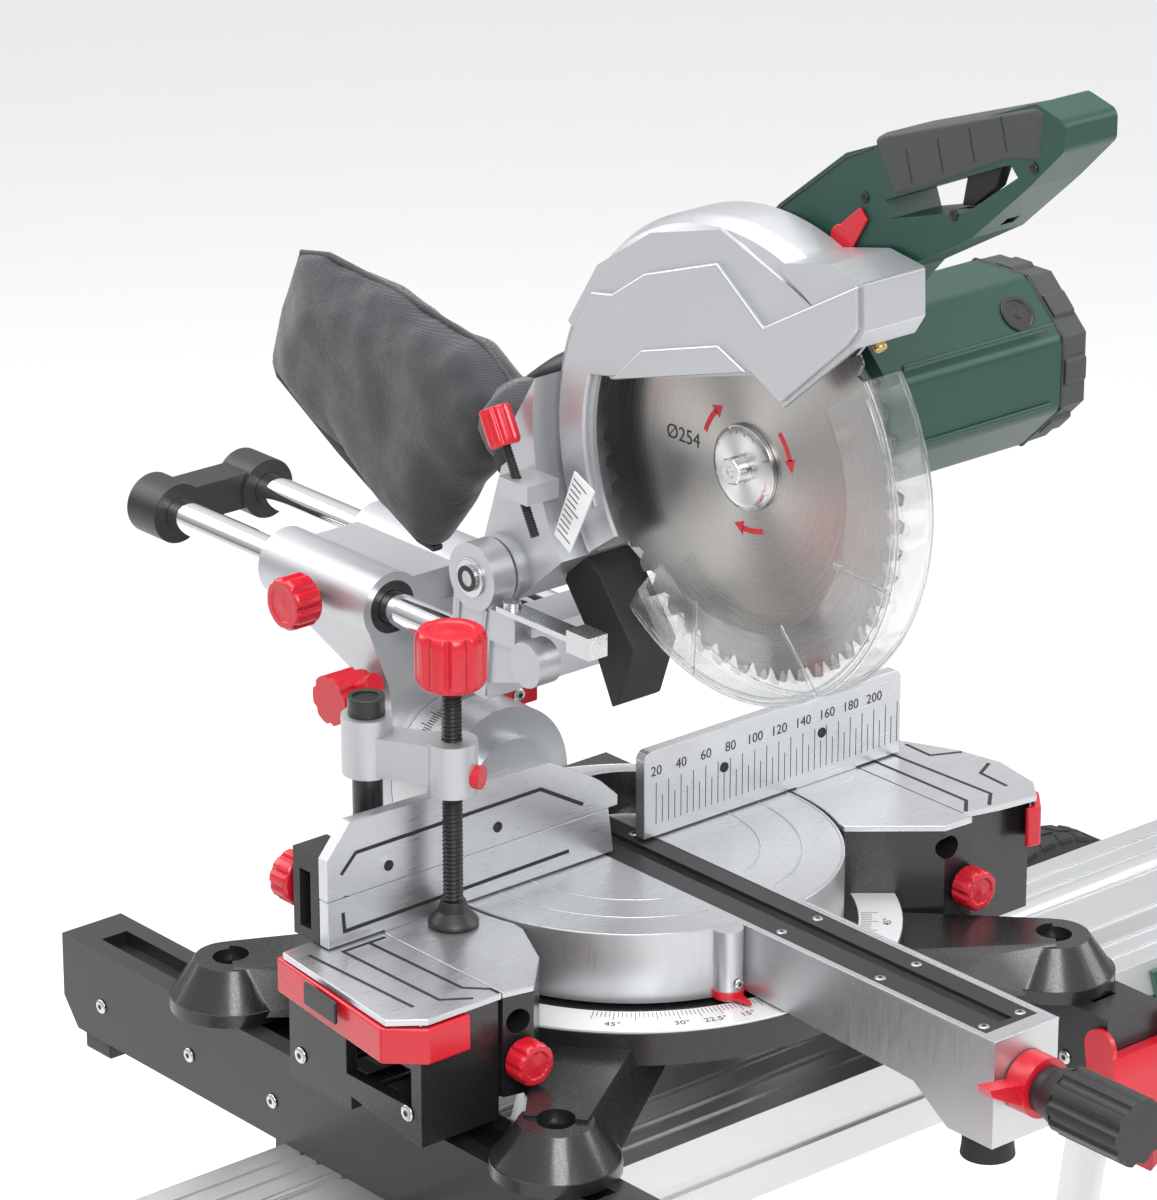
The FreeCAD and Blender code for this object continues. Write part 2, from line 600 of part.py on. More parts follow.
def fence_lower():
    """One-piece fence casting: low left wall, scaled right wall and the rear bridge."""
    t = FENCE_THICKNESS
    left = plate([(-231, 1), (-46, 1), (-46, FENCE_SEAM), (-231, FENCE_SEAM)], "Y", (0, t))
    left_tip = plate([(-48, 1), (-14, 1), (-18, FENCE_SEAM), (-48, FENCE_SEAM)], "Y", (0, t))
    right = plate([(10.4, 1), (223, 1), (223, RIGHT_FENCE_HEIGHT), (10.4, RIGHT_FENCE_HEIGHT)],
                  "Y", (0, t))
    corners = [e for e in right.Edges if abs(e.BoundBox.YLength - t) < 0.01
               and e.BoundBox.ZMax > RIGHT_FENCE_HEIGHT - 1]
    right = right.makeFillet(6, corners)
    bridge = pipe((0, 0, 2), (0, 0, FENCE_SEAM), 52, 45)
    bridge = bridge.cut(box((-60, 60), (-60, 2), (0, 40)))
    left_flange = box((-189, -135), (0, 17), (0, 6))
    right_flange = box((135, 186), (0, 17), (0, 6))
    return [fuse([left, left_tip, right, bridge, left_flange, right_flange])]


# ---------------------------------------------------------------- saw: base movers
def extension(points, side, front_y, outer_x):
    """Sliding table end: bright top plate on a black frame with two guide rods."""
    top = plate(points, "Z", (-PLATE_THICKNESS, 0))
    seam = points[0][0]
    front_outer = outer_x - side * 4
    front_wall = box(sorted((seam + side * 0.6, front_outer)), (front_y, front_y + 7),
                     (-80, -PLATE_THICKNESS))
    rear_wall = box(sorted((seam + side * 0.6, front_outer)), (8, 15), (-64, -PLATE_THICKNESS))
    side_wall = plate([(front_y, -80), (front_y, -4), (15, -4), (15, -64)], "X",
                      sorted((outer_x - side * 8, outer_x)))
    window = box(sorted((outer_x - side * 9, outer_x + side)), (front_y + 9, -38), (-58, -34))
    side_wall = side_wall.cut(window)
    foot_rail = box(sorted((outer_x - side * 8, outer_x)), (-42, 15), (-80, -64))
    deck = box(sorted((seam + side * 0.6, outer_x - side * 4)), (front_y, 15), (-9, -4))
    rods = [rod((outer_x - side * 4, y, EXTENSION_ROD_Z), (side * 66, y, EXTENSION_ROD_Z), 5)
            for y in EXTENSION_RODS_Y]
    frame = fuse([front_wall, rear_wall, side_wall, foot_rail, deck] + rods)
    return [top, frame]


def extension_knob(x, y, z):
    grip = knob((x, y - 2, z), (x, y - 17, z), 13)
    shaft = rod((x, y - 5, z), (x, y + 20, z), 4)
    return [fuse([grip, shaft])]


def fence_left_upper():
    """Tall sliding half of the left fence with its black clamp block."""
    t = FENCE_THICKNESS
    seam = FENCE_SEAM + 0.4
    wall = plate([(-231, seam), (-231, 56), (-214, 76), (-64, 72), (-25, 50), (-11, 37),
                  (-11, seam)], "Y", (0, t))
    tongue = box((-190, -90), (t + 0.3, t + 5), (10, 56))
    rib = box((-190, -90), (t - 1, t + 2), (40, 56))
    block = box((-231, -206), (t + 0.3, 32), (1.2, 56))
    block = block.cut(box((-232, -212), (t + 8, 26), (8, 44)))
    link = box((-229, -208), (t - 1, t + 2), (34, 52))
    shaft_hole = rod((-218, 0, 28), (-218, 40, 28), 3.1)
    return [fuse([wall, tongue, rib, block, link]).cut(shaft_hole)]


def fence_knob():
    grip = knob((-218, 36, 28), (-218, 53, 28), 16)
    return [fuse([grip, rod((-218, 12, 28), (-218, 38, 28), 3)])]


def turntable():
    """Rotating table with its mitre arm, kerf channel and rear bevel trunnion."""
    disc = rod((0, 0, -TURNTABLE_DEPTH), (0, 0, 0), TURNTABLE_RADIUS)
    arm = plate([(-100, -40), (-272, -47), (-300, -66), (-336, -66), (-336, 0), (-100, 0)],
                "X", (-25, 25))
    pointer_boss = rod((-34, -125, -TURNTABLE_DEPTH), (-34, -125, 0), 9)
    rear = box((-44, 44), (100, TRUNNION_BACK), (-TURNTABLE_DEPTH, 0))
    trunnion = rod((0, TRUNNION_FRONT, 0), (0, TRUNNION_BACK, 0), TRUNNION_RADIUS)
    nose = rod((0, 112, 0), (0, TRUNNION_FRONT, 0), 34)
    pin = rod((0, TRUNNION_BACK, 0), (0, 204, 0), 12)
    hollow = rod((0, 0, -TURNTABLE_DEPTH), (0, 0, -12), TURNTABLE_RADIUS - 8)
    hub = rod((0, 0, -TURNTABLE_DEPTH), (0, 0, 0), 34)
    spine = box((-25, 25), (-120, 120), (-TURNTABLE_DEPTH, 0))
    web = box((-120, 120), (-5, 5), (-TURNTABLE_DEPTH, 0))
    disc = fuse([disc.cut(hollow), hub, spine, web.common(disc)])
    whole = fuse([disc, arm, pointer_boss, rear, trunnion, nose, pin])
    tools = [
        box((-20.3, 20.3), (-324, 62), (-3.2, 1)),
        box((-9, 16), (-318, 58), (-30, 1)),
        rod((0, 0, -TURNTABLE_DEPTH), (0, 0, -31.5), 20 + RUNNING_FIT),
        rod((0, -308, -70), (0, -308, -30), 5 + RUNNING_FIT),
        rod((0, -340, -30), (0, -310, -30), 6 + RUNNING_FIT),
    ]
    return [cut(whole, tools)]


def table_insert():
    """Black kerf insert, screwed into the pocket along the arm."""
    sheet = box((-20, 20), (-323.6, 61.6), (-3.2, -0.4))
    return [sheet.cut(box((-3.5, 6.5), (-318, 58), (-4, 0)))]


def support_foot():
    return [fuse([rod((0, -308, -84), (0, -308, -48), 5),
                  cone((0, -308, -87), (0, -308, -80), 16, 15),
                  rod((0, -308, -80), (0, -308, -74), 15)])]


def mitre_grip():
    """Fluted black grip on the clamp spindle at the end of the mitre arm."""
    spindle = rod((0, -312, -30), (0, -360, -30), 6)
    collar = rod((0, -353, -30), (0, -362, -30), 14)
    grip = fuse([cone((0, -360, -30), (0, -372, -30), 15, 19),
                 knob((0, -372, -30), (0, -425, -30), 20, 10)])
    return [fuse([spindle, collar, grip])]


def detent_lever():
    """Red collar round the spindle with a thumb tab to the left."""
    collar = pipe((0, -337, -30), (0, -352, -30), 18, 6.5)
    tab = plate([(-14, -38), (-40, -24), (-42, -19), (-30, -21), (-12, -24)], "Y", (-350, -339))
    tab = tab.cut(rod((0, -352, -30), (0, -337, -30), 10))
    return [fuse([collar, tab])]


# ---------------------------------------------------------------- saw: bevel arm and slide
def bevel_arm():
    """Tilting casting: a disc on the trunnion pin that rises to two rail housings."""
    disc = rod((0, TRUNNION_BACK + 0.5, 0), (0, 205, 0), TRUNNION_RADIUS)
    sections = []
    for z, half, y_front, y_back in ((-6, 44, 168, 205), (62, 47, 172, 206), (104, 56, 184, 286)):
        points = [Vec(-half, y_front, z), Vec(half, y_front, z), Vec(half, y_back, z),
                  Vec(-half, y_back, z)]
        sections.append(Part.makePolygon(points + points[:1]))
    column = Part.makeLoft(sections, True, True)
    whole = [disc, column]
    for side in (-1, 1):
        whole.append(rod((side * RAIL_TUBE_X, HOUSING_FRONT, RAIL_TUBE_Z),
                         (side * RAIL_TUBE_X, HOUSING_BACK, RAIL_TUBE_Z), HOUSING_RADIUS))
    whole.append(box((-RAIL_TUBE_X, RAIL_TUBE_X), (HOUSING_FRONT + 4, HOUSING_BACK - 4),
                     (96, 124)))
    whole = fuse(whole)
    tools = [rod((0, TRUNNION_BACK, 0), (0, 210, 0), 12 + RUNNING_FIT)]
    for side in (-1, 1):
        tools.append(rod((side * RAIL_TUBE_X, HOUSING_FRONT - 1, RAIL_TUBE_Z),
                         (side * RAIL_TUBE_X, HOUSING_BACK + 1, RAIL_TUBE_Z), BUSH_RADIUS))
    tools.append(rod((-70, 228, RAIL_TUBE_Z), (-50, 228, RAIL_TUBE_Z), 4.1))
    tools.append(rod((-70, BEVEL_KNOB_Y, BEVEL_KNOB_Z), (-16, BEVEL_KNOB_Y, BEVEL_KNOB_Z), 4.1))
    return [cut(whole, tools)]


def rail_bushes():
    """Black slide bushes pressed into both ends of each housing."""
    bushes = []
    for side in (-1, 1):
        for y_span in ((HOUSING_FRONT, HOUSING_FRONT + 32), (HOUSING_BACK - 32, HOUSING_BACK)):
            x = side * RAIL_TUBE_X
            bushes.append(pipe((x, y_span[0], RAIL_TUBE_Z), (x, y_span[1], RAIL_TUBE_Z),
                               BUSH_RADIUS, RAIL_TUBE_RADIUS + RUNNING_FIT))
    return bushes


def slide_knob():
    grip = knob((-66, 228, RAIL_TUBE_Z), (-86, 228, RAIL_TUBE_Z), 17)
    return [fuse([grip, rod((-54.0, 228, RAIL_TUBE_Z), (-68, 228, RAIL_TUBE_Z), 4)])]


def bevel_lever():
    """Red bevel clamp knob on the left flank of the bevel arm."""
    y, z = BEVEL_KNOB_Y, BEVEL_KNOB_Z
    hub = rod((-53, y, z), (-62, y, z), 13)
    grip = fuse([knob((-60, y, z), (-82, y, z), 16, 6),
                 rod((-66, y, z), (-66, y - 26, z + 16), 6)])
    return [fuse([hub, grip, rod((-18, y, z), (-54, y, z), 4)])]


def rails():
    return [rod((side * RAIL_TUBE_X, 64, RAIL_TUBE_Z), (side * RAIL_TUBE_X, 422, RAIL_TUBE_Z),
                RAIL_TUBE_RADIUS) for side in (-1, 1)]


def rail_end_cap():
    """Black bridge that ties the rails' rear ends together."""
    x, z = RAIL_TUBE_X, RAIL_TUBE_Z
    whole = fuse([rod((-x, 400, z), (-x, 430, z), 20), rod((x, 400, z), (x, 430, z), 20),
                  box((-x, x), (402, 428), (z - 10, z + 14))])
    return [cut(whole, [rod((s * x, 399, z), (s * x, 422, z), RAIL_TUBE_RADIUS)
                        for s in (-1, 1)])]


def head_mount():
    """Carriage casting at the rails' front: cross block, ribbed ears and chop pin."""
    pieces = [box((-60, 60), (62, 98), (92, 128))]
    for side in (-1, 1):
        ear = sorted((side * 48, side * 61))
        boss = sorted((side * 46.5, side * 63.5))
        pieces.append(plate([(97, 94), (63, 94), (55, 160), (90, 172)], "X", ear))
        pieces.append(rod((boss[0], CHOP_Y, CHOP_Z), (boss[1], CHOP_Y, CHOP_Z), 21))
    pieces.append(plate([(70, 100), (70, 131), (20, 140), (14, 117)], "X", (-59, -50)))
    pieces.append(rod((-66, 20, 128), (-49.5, 20, 128), 14))
    pieces.append(box((-62, -49), (34, 57), (132, 152)))
    casting = fuse(pieces)
    holes = [rod((-70, CHOP_Y, CHOP_Z), (70, CHOP_Y, CHOP_Z), 8)]
    for side in (-1, 1):
        x = side * RAIL_TUBE_X
        holes.append(rod((x, 64, RAIL_TUBE_Z), (x, 99, RAIL_TUBE_Z), RAIL_TUBE_RADIUS))
    holes.append(rod((-55.5, 44, 134), (-55.5, 44, 153), 3.1))
    chop_pin = rod((-67, CHOP_Y, CHOP_Z), (67, CHOP_Y, CHOP_Z), 8)
    return [cut(casting, holes), chop_pin]


def depth_stop_plate():
    """Bright swing plate that the depth screw lands on."""
    leaf = box((-63, -48.5), (-34, 50), (152.4, 156))
    lip = box((-63, -48.5), (-34, -14), (146, 160))
    screw = fuse([rod((-55.5, 44, 136), (-55.5, 44, 153), 3),
                  rod((-55.5, 44, 156), (-55.5, 44, 159), 5.5)])
    return [fuse([leaf, lip, screw])]


# ---------------------------------------------------------------- saw: head
FACE_OUTLINE = [(-8, 304), (-132, 338), (-155, 325), (-211, 373), (-200, 380), (-160, 396),
                (-101, 416), (-42, 400), (4, 370), (30, 330)]
NOSE_OUTLINE = [(-211, 373), (-219, 385), (-218, 413), (-190, 417), (-150, 408), (-170, 360)]
LINK_OUTLINE = [(88, 156), (90, 178), (62, 262), (34, 306), (-10, 250), (14, 190), (58, 152)]


def guard_cover():
    """Main head casting: upper blade cover, gear case, link arm and chop hub."""
    profile = [(COVER_LEFT, 109), (COVER_LEFT, COVER_RADIUS - 15),
               (COVER_LEFT + 5, COVER_RADIUS - 5), (COVER_LEFT + 16, COVER_RADIUS),
               (COVER_RIGHT - 3, COVER_RADIUS), (COVER_RIGHT, COVER_RADIUS - 3),
               (COVER_RIGHT, 40), (COVER_RIGHT - COVER_WALL, 40),
               (COVER_RIGHT - COVER_WALL, COVER_INNER), (COVER_LEFT + 12, COVER_INNER),
               (COVER_LEFT + COVER_WALL, COVER_RADIUS - 17), (COVER_LEFT + COVER_WALL, 109)]
    shell = ring_sector(profile, BLADE_Y, BLADE_Z, 50, 165)
    face = plate(FACE_OUTLINE, "X", (COVER_LEFT, COVER_LEFT + COVER_WALL))
    nose = plate(NOSE_OUTLINE, "X", (COVER_LEFT, COVER_RIGHT), 3)
    nose = nose.cut(rod((-40, BLADE_Y, BLADE_Z), (40, BLADE_Y, BLADE_Z), COVER_INNER))
    hub = rod((-44, CHOP_Y, CHOP_Z), (44, CHOP_Y, CHOP_Z), 20)
    link = plate(LINK_OUTLINE, "X", (-40, 44))
    clear = rod((-60, BLADE_Y, BLADE_Z), (COVER_RIGHT, BLADE_Y, BLADE_Z), COVER_INNER + 2)
    link = link.cut(clear)
    gear_case = rod((COVER_RIGHT - COVER_WALL, BLADE_Y, 284), (60, BLADE_Y, 284), 50)
    shoulder = plate([(40, 240), (30, 316), (-70, 334), (-90, 240), (10, 190)], "X",
                     (COVER_RIGHT, 58))
    lug = box((-62, -38), (22, 48), (226, 238))
    port = pipe((-12, 54, 230), (-12, 84, 250), 24, 20)
    nose_ring = rod((8, BLADE_Y, BLADE_Z), (COVER_RIGHT, BLADE_Y, BLADE_Z), 28)
    whole = fuse([shell, face, nose, hub, link, gear_case, shoulder, lug, port, nose_ring])
    holes = [rod((-50, CHOP_Y, CHOP_Z), (50, CHOP_Y, CHOP_Z), 8 + RUNNING_FIT),
             rod((0, BLADE_Y, BLADE_Z), (56, BLADE_Y, BLADE_Z), 8 + RUNNING_FIT),
             rod((-55.5, 44, 246), (-55.5, 26, 212), 3.1)]
    return [cut(whole, holes)]


def octagon(radius):
    """Corners of a flat-sided motor section round the motor axis, as (y, z)."""
    turns = [math.radians(22.5 + 45 * i) for i in range(8)]
    return [(MOTOR_Y + radius * math.cos(t), MOTOR_Z + radius * math.sin(t)) for t in turns]


def motor_housing():
    """Green eight-sided motor shell out to the right of the gear case."""
    barrel = plate(octagon(MOTOR_CORNER), "X", (61, MOTOR_END), 9)
    neck = rod((60, BLADE_Y, 288), (72, BLADE_Y, 288), 48)
    return [fuse([barrel, neck])]


def motor_cap():
    """Charcoal vented end cap."""
    wires = []
    for x, radius in ((MOTOR_END, MOTOR_CORNER - 1), (MOTOR_END + 20, MOTOR_CORNER - 1.5),
                      (MOTOR_END + 28, MOTOR_CORNER - 11)):
        corners = [Vec(x, y, z) for y, z in octagon(radius)]
        wires.append(Part.makePolygon(corners + corners[:1]))
    cap = Part.makeLoft(wires, True, True)
    vents = []
    for i in range(12):
        turn = math.radians(30 * i)
        y, z = MOTOR_Y + 30 * math.cos(turn), MOTOR_Z + 30 * math.sin(turn)
        vents.append(rod((MOTOR_END + 23, y, z), (MOTOR_END + 29, y, z), 4))
    return [cut(cap, vents)]


def handle():
    """Green operating handle that rises from the gear case to the front."""
    outline = [(-60, 336), (-62, 386), (-96, 420), (-150, 462), (-296, 522), (-318, 516), (-318, 500),
               (-292, 474), (-250, 436), (-190, 402), (-130, 336)]
    body = plate(outline, "X", (HANDLE_X - 20, HANDLE_X + 20), 6)
    body = body.cut(rod((0, BLADE_Y, 284), (100, BLADE_Y, 284), 50))
    body = body.cut(rod((0, MOTOR_Y, MOTOR_Z), (100, MOTOR_Y, MOTOR_Z), MOTOR_CORNER + 0.5))
    window = plate([(-186, 432), (-182, 442), (-278, 484), (-284, 478), (-246, 450)], "X",
                   (HANDLE_X - 30, HANDLE_X + 30))
    body = body.cut(window)
    body = body.cut(box((HANDLE_X - 5, HANDLE_X + 5), (-262, -221), (442, 488)))
    return [body.cut(plate([(40, 240), (30, 316), (-70, 334), (-90, 240), (10, 190)], "X",
                           (COVER_RIGHT, 58)))]


def trigger():
    """Black switch trigger under the grip."""
    return [plate([(-258, 478), (-230, 466), (-226, 446), (-236, 448), (-252, 462)], "X",
                  (HANDLE_X - 4, HANDLE_X + 4))]


def lock_lever():
    """Red guard release lever on the head, beside the handle root."""
    hub = rod((COVER_RIGHT + 0.5, -150, 412), (COVER_RIGHT + 2.6, -150, 412), 9)
    blade = plate([(-142, 408), (-158, 408), (-170, 428), (-164, 434), (-150, 422)], "X",
                  (COVER_RIGHT + 0.5, COVER_RIGHT + 2.6))
    return [fuse([hub, blade])]


def dust_bag():
    """Plain outer form of the fabric dust bag."""
    outline = [(75, 276), (276, 316), (300, 312), (332, 224), (176, 146), (160, 146), (103, 228)]
    return [plate(outline, "X", (-42, 14), 5)]


def chip_deflector():
    """Black rubber chip flap behind the blade."""
    flap = plate([(32, 190), (40, 164), (14, 130), (-3, 96), (-8, 99), (-22, 138), (10, 178)],
                 "X", (-18, 16))
    hollow = plate([(20, 182), (28, 160), (6, 126), (-5, 106), (-16, 138), (8, 170)], "X", (-15, 13))
    clear = rod((-20, BLADE_Y, BLADE_Z), (20, BLADE_Y, BLADE_Z), GUARD_RADIUS + 2)
    return [cut(flap, [hollow, clear, plate(LINK_OUTLINE, "X", (-41, 45))])]


def depth_screw():
    """Black depth screw with its red knob, on the lug at the left of the head."""
    top, low = Vec(-55.5, 60, 276.2), Vec(-55.5, 22.6, 205.5)
    along = (top - low).normalize()
    shaft = Part.makeCylinder(3, (top - low).Length - 4, low, along)
    start = top - along * 24
    return [fuse([shaft, knob(tuple(start), tuple(top), 10)])]


def lower_guard():
    """Clear swinging guard: C-shaped rim round the blade on a hub ring."""
    profile = [(-14, 95), (-14, GUARD_RADIUS), (12, GUARD_RADIUS), (12, 34), (10.4, 34),
               (10.4, GUARD_RADIUS - 2.2), (-12.4, GUARD_RADIUS - 2.2), (-12.4, 95)]
    shell = ring_sector(profile, BLADE_Y, BLADE_Z, -130, 167)
    hub = pipe((10.4, BLADE_Y, BLADE_Z), (14, BLADE_Y, BLADE_Z), 38, 28.6)
    return [fuse([shell, hub])]


def blade():
    """Saw blade: a plate with a tooth at each step round its rim, bored for the arbor."""
    points = []
    for i in range(BLADE_TEETH):
        start = 2 * math.pi * i / BLADE_TEETH
        for turn, radius in ((0.0, BLADE_RADIUS), (0.35, BLADE_RADIUS - 1.5),
                             (0.55, BLADE_RADIUS - 9), (0.8, BLADE_RADIUS - 7)):
            angle = start + turn * 2 * math.pi / BLADE_TEETH
            points.append((BLADE_Y + radius * math.cos(angle), BLADE_Z + radius * math.sin(angle)))
    disc = plate(points, "X", (-BLADE_HALF, BLADE_HALF))
    return [disc.cut(rod((-5, BLADE_Y, BLADE_Z), (5, BLADE_Y, BLADE_Z), 15))]


def blade_flange():
    """Outer flange and bolt, inner flange and the arbor."""
    y, z = BLADE_Y, BLADE_Z
    outer = fuse([rod((-4.5, y, z), (-BLADE_HALF, y, z), 25.5),
                  cone((-7, y, z), (-4.5, y, z), 20, 25.5)])
    bolt = rod((-14, y, z), (-7, y, z), 8)
    inner = rod((BLADE_HALF, y, z), (7, y, z), 25)
    arbor = rod((7, y, z), (54, y, z), 8)
    spigot = rod((-BLADE_HALF, y, z), (BLADE_HALF, y, z), 15)
    return [fuse([outer, bolt, spigot, inner, arbor])]


# ---------------------------------------------------------------- saw: work clamp
def clamp_post():
    """Black post that stands in the base socket."""
    x, y = CLAMP_POST
    return [fuse([rod((x, y, -8), (x, y, 128), 9), rod((x, y, 128), (x, y, 134), 11)])]


def clamp_arm():
    """Silver clamp arm that swings on the post, with a red release button."""
    x0, y0 = CLAMP_POST
    x1, y1 = CLAMP_SCREW
    reach = math.hypot(x1 - x0, y1 - y0)
    nx, ny = -(y1 - y0) / reach, (x1 - x0) / reach
    corners = [(x0 + nx * 11, y0 + ny * 11), (x1 + nx * 11, y1 + ny * 11),
               (x1 - nx * 11, y1 - ny * 11), (x0 - nx * 11, y0 - ny * 11)]
    beam = plate(corners, "Z", (90, 114))
    bosses = [rod((x0, y0, 88), (x0, y0, 124), 15), rod((x1, y1, 84), (x1, y1, 116), 15)]
    ux, uy = (x1 - x0) / reach, (y1 - y0) / reach
    button = rod((x1 + ux * 10, y1 + uy * 10, 95), (x1 + ux * 19, y1 + uy * 19, 95), 7)
    whole = fuse([beam] + bosses + [button])
    bores = [rod((x0, y0, 80), (x0, y0, 130), 9 + RUNNING_FIT),
             rod((x1, y1, 80), (x1, y1, 130), 6 + RUNNING_FIT)]
    return [cut(whole, bores)]


def clamp_screw():
    """Threaded spindle with a black pad below and a big red knob on top."""
    x, y = CLAMP_SCREW
    spindle = rod((x, y, 8), (x, y, 152), 6)
    pad = fuse([rod((x, y, 1), (x, y, 4), 15), cone((x, y, 4), (x, y, 14), 14.5, 8)])
    return [fuse([spindle, pad, knob((x, y, 150), (x, y, 184), 21)])]


# ---------------------------------------------------------------- write every node
STAND_NODES = {
    "stand_rail": stand_rail(),
    "rail_end_caps": rail_end_caps(),
    "leg_brackets": leg_brackets(),
    "machine_arms": machine_arms(),
    "trolley_handles": trolley_handles(),
    "wheel_axle": wheel_axle(),
    "stand_latches": stand_latches(),
    "leg_front_left": leg(-1, -1),
    "leg_rear_left": leg(-1, 1),
    "leg_front_right": leg(1, -1),
    "leg_rear_right": leg(1, 1),
    "roller_arm_left": roller_arm(-1),
    "roller_arm_right": roller_arm(1),
    "roller_frame_left": roller_frame(-1),
    "roller_frame_right": roller_frame(1),
    "roller_left": roller(-1),
    "roller_right": roller(1),
    "wheel_front": wheel(-1),
    "wheel_rear": wheel(1),
    "arm_clamp_lever_left": arm_clamp_lever(-1),
    "arm_clamp_lever_right": arm_clamp_lever(1),
}

SAW_NODES = {
    "base_casting": [fuse(base_casting() + [clamp_socket()])],
    "saddle_bolts": saddle_bolts(),
    "mitre_scale": mitre_scale(),
    "table_tops": table_tops(),
    "fence_lower": fence_lower(),
    "extension_left": extension(LEFT_EXTENSION, -1, -106, -249),
    "extension_right": extension(RIGHT_EXTENSION, 1, -92, 246),
    "extension_knob_left": extension_knob(-181, -110.2, -42),
    "extension_knob_right": extension_knob(180, -101.7, -42),
    "fence_left_upper": fence_left_upper(),
    "fence_knob": fence_knob(),
    "turntable": turntable(),
    "table_insert": table_insert(),
    "support_foot": support_foot(),
    "mitre_grip": mitre_grip(),
    "detent_lever": detent_lever(),
    "bevel_arm": bevel_arm(),
    "rail_bushes": rail_bushes(),
    "slide_knob": slide_knob(),
    "bevel_lever": bevel_lever(),
    "rails": rails(),
    "rail_end_cap": rail_end_cap(),
    "head_mount": head_mount(),
    "depth_stop_plate": depth_stop_plate(),
    "guard_cover": guard_cover(),
    "motor_housing": motor_housing(),
    "motor_cap": motor_cap(),
    "handle": handle(),
    "trigger": trigger(),
    "lock_lever": lock_lever(),
    "dust_bag": dust_bag(),
    "chip_deflector": chip_deflector(),
    "depth_screw": depth_screw(),
    "lower_guard": lower_guard(),
    "blade": blade(),
    "blade_flange": blade_flange(),
    "clamp_post": clamp_post(),
    "clamp_arm": clamp_arm(),
    "clamp_screw": clamp_screw(),
}

for node, solids in STAND_NODES.items():
    save(node, solids)
for node, solids in SAW_NODES.items():
    save_saw(node, solids)

for node, solids in list(STAND_NODES.items()) + list(SAW_NODES.items()):
    counts = [len(s.Solids) for s in solids]
    sound = all(s.isValid() for s in solids)
    print(node, counts, "valid" if sound else "INVALID")
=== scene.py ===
"""Looks of a sliding mitre saw on its folding stand: materials, fine pieces, camera and light.

Places are in millimetres of the saw's table frame: the turntable's axis is the origin, the table top is
z = 0, +X runs along the fence and +Y to the rear. The height of the table comes from the frame.
"""
import math

import bmesh
import bpy
from mathutils import Matrix, Vector


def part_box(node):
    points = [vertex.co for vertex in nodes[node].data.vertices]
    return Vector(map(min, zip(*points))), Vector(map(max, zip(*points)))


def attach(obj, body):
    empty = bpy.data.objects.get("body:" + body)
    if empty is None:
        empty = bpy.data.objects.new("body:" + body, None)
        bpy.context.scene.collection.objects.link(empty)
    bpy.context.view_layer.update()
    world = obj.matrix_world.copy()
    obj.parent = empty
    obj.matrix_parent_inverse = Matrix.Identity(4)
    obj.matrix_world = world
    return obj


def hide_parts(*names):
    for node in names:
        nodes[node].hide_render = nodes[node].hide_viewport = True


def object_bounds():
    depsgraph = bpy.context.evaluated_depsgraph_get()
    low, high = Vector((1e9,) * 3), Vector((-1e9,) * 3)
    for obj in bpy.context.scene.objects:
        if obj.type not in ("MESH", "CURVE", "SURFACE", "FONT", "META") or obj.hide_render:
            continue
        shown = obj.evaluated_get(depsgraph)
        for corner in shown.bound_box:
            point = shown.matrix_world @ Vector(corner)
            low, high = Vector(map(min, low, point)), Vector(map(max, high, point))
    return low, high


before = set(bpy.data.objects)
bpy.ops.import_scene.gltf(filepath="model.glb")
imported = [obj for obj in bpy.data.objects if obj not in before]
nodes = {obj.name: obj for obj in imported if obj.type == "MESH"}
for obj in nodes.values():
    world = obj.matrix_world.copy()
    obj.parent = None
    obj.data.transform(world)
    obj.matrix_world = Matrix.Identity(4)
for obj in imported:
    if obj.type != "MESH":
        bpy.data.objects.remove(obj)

cad_box = [list(corner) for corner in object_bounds()]
TABLE_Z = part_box("table_tops")[1].z
MM = 0.001
FLOOR = -TABLE_Z / MM
BLADE_Y, BLADE_Z = -101, 270
MOTOR_Y, MOTOR_Z, MOTOR_END = -100, 295, 200
HANDLE_X = 45
BAG_X = -14
WHEEL_X, WHEEL_HEIGHT = 548, 580
RAIL_MIDDLE = -20.0
RAIL_SIDE = 80.0           # outer face of the leg brackets, either side of the rail's middle
SIDES = ((-1, "left"), (1, "right"))
ENDS = ((-1, "front"), (1, "rear"))


def at(x, y, z):
    """A point of the saw's table frame, in millimetres, as metres in the shared frame."""
    return Vector((x * MM, y * MM, z * MM + TABLE_Z))


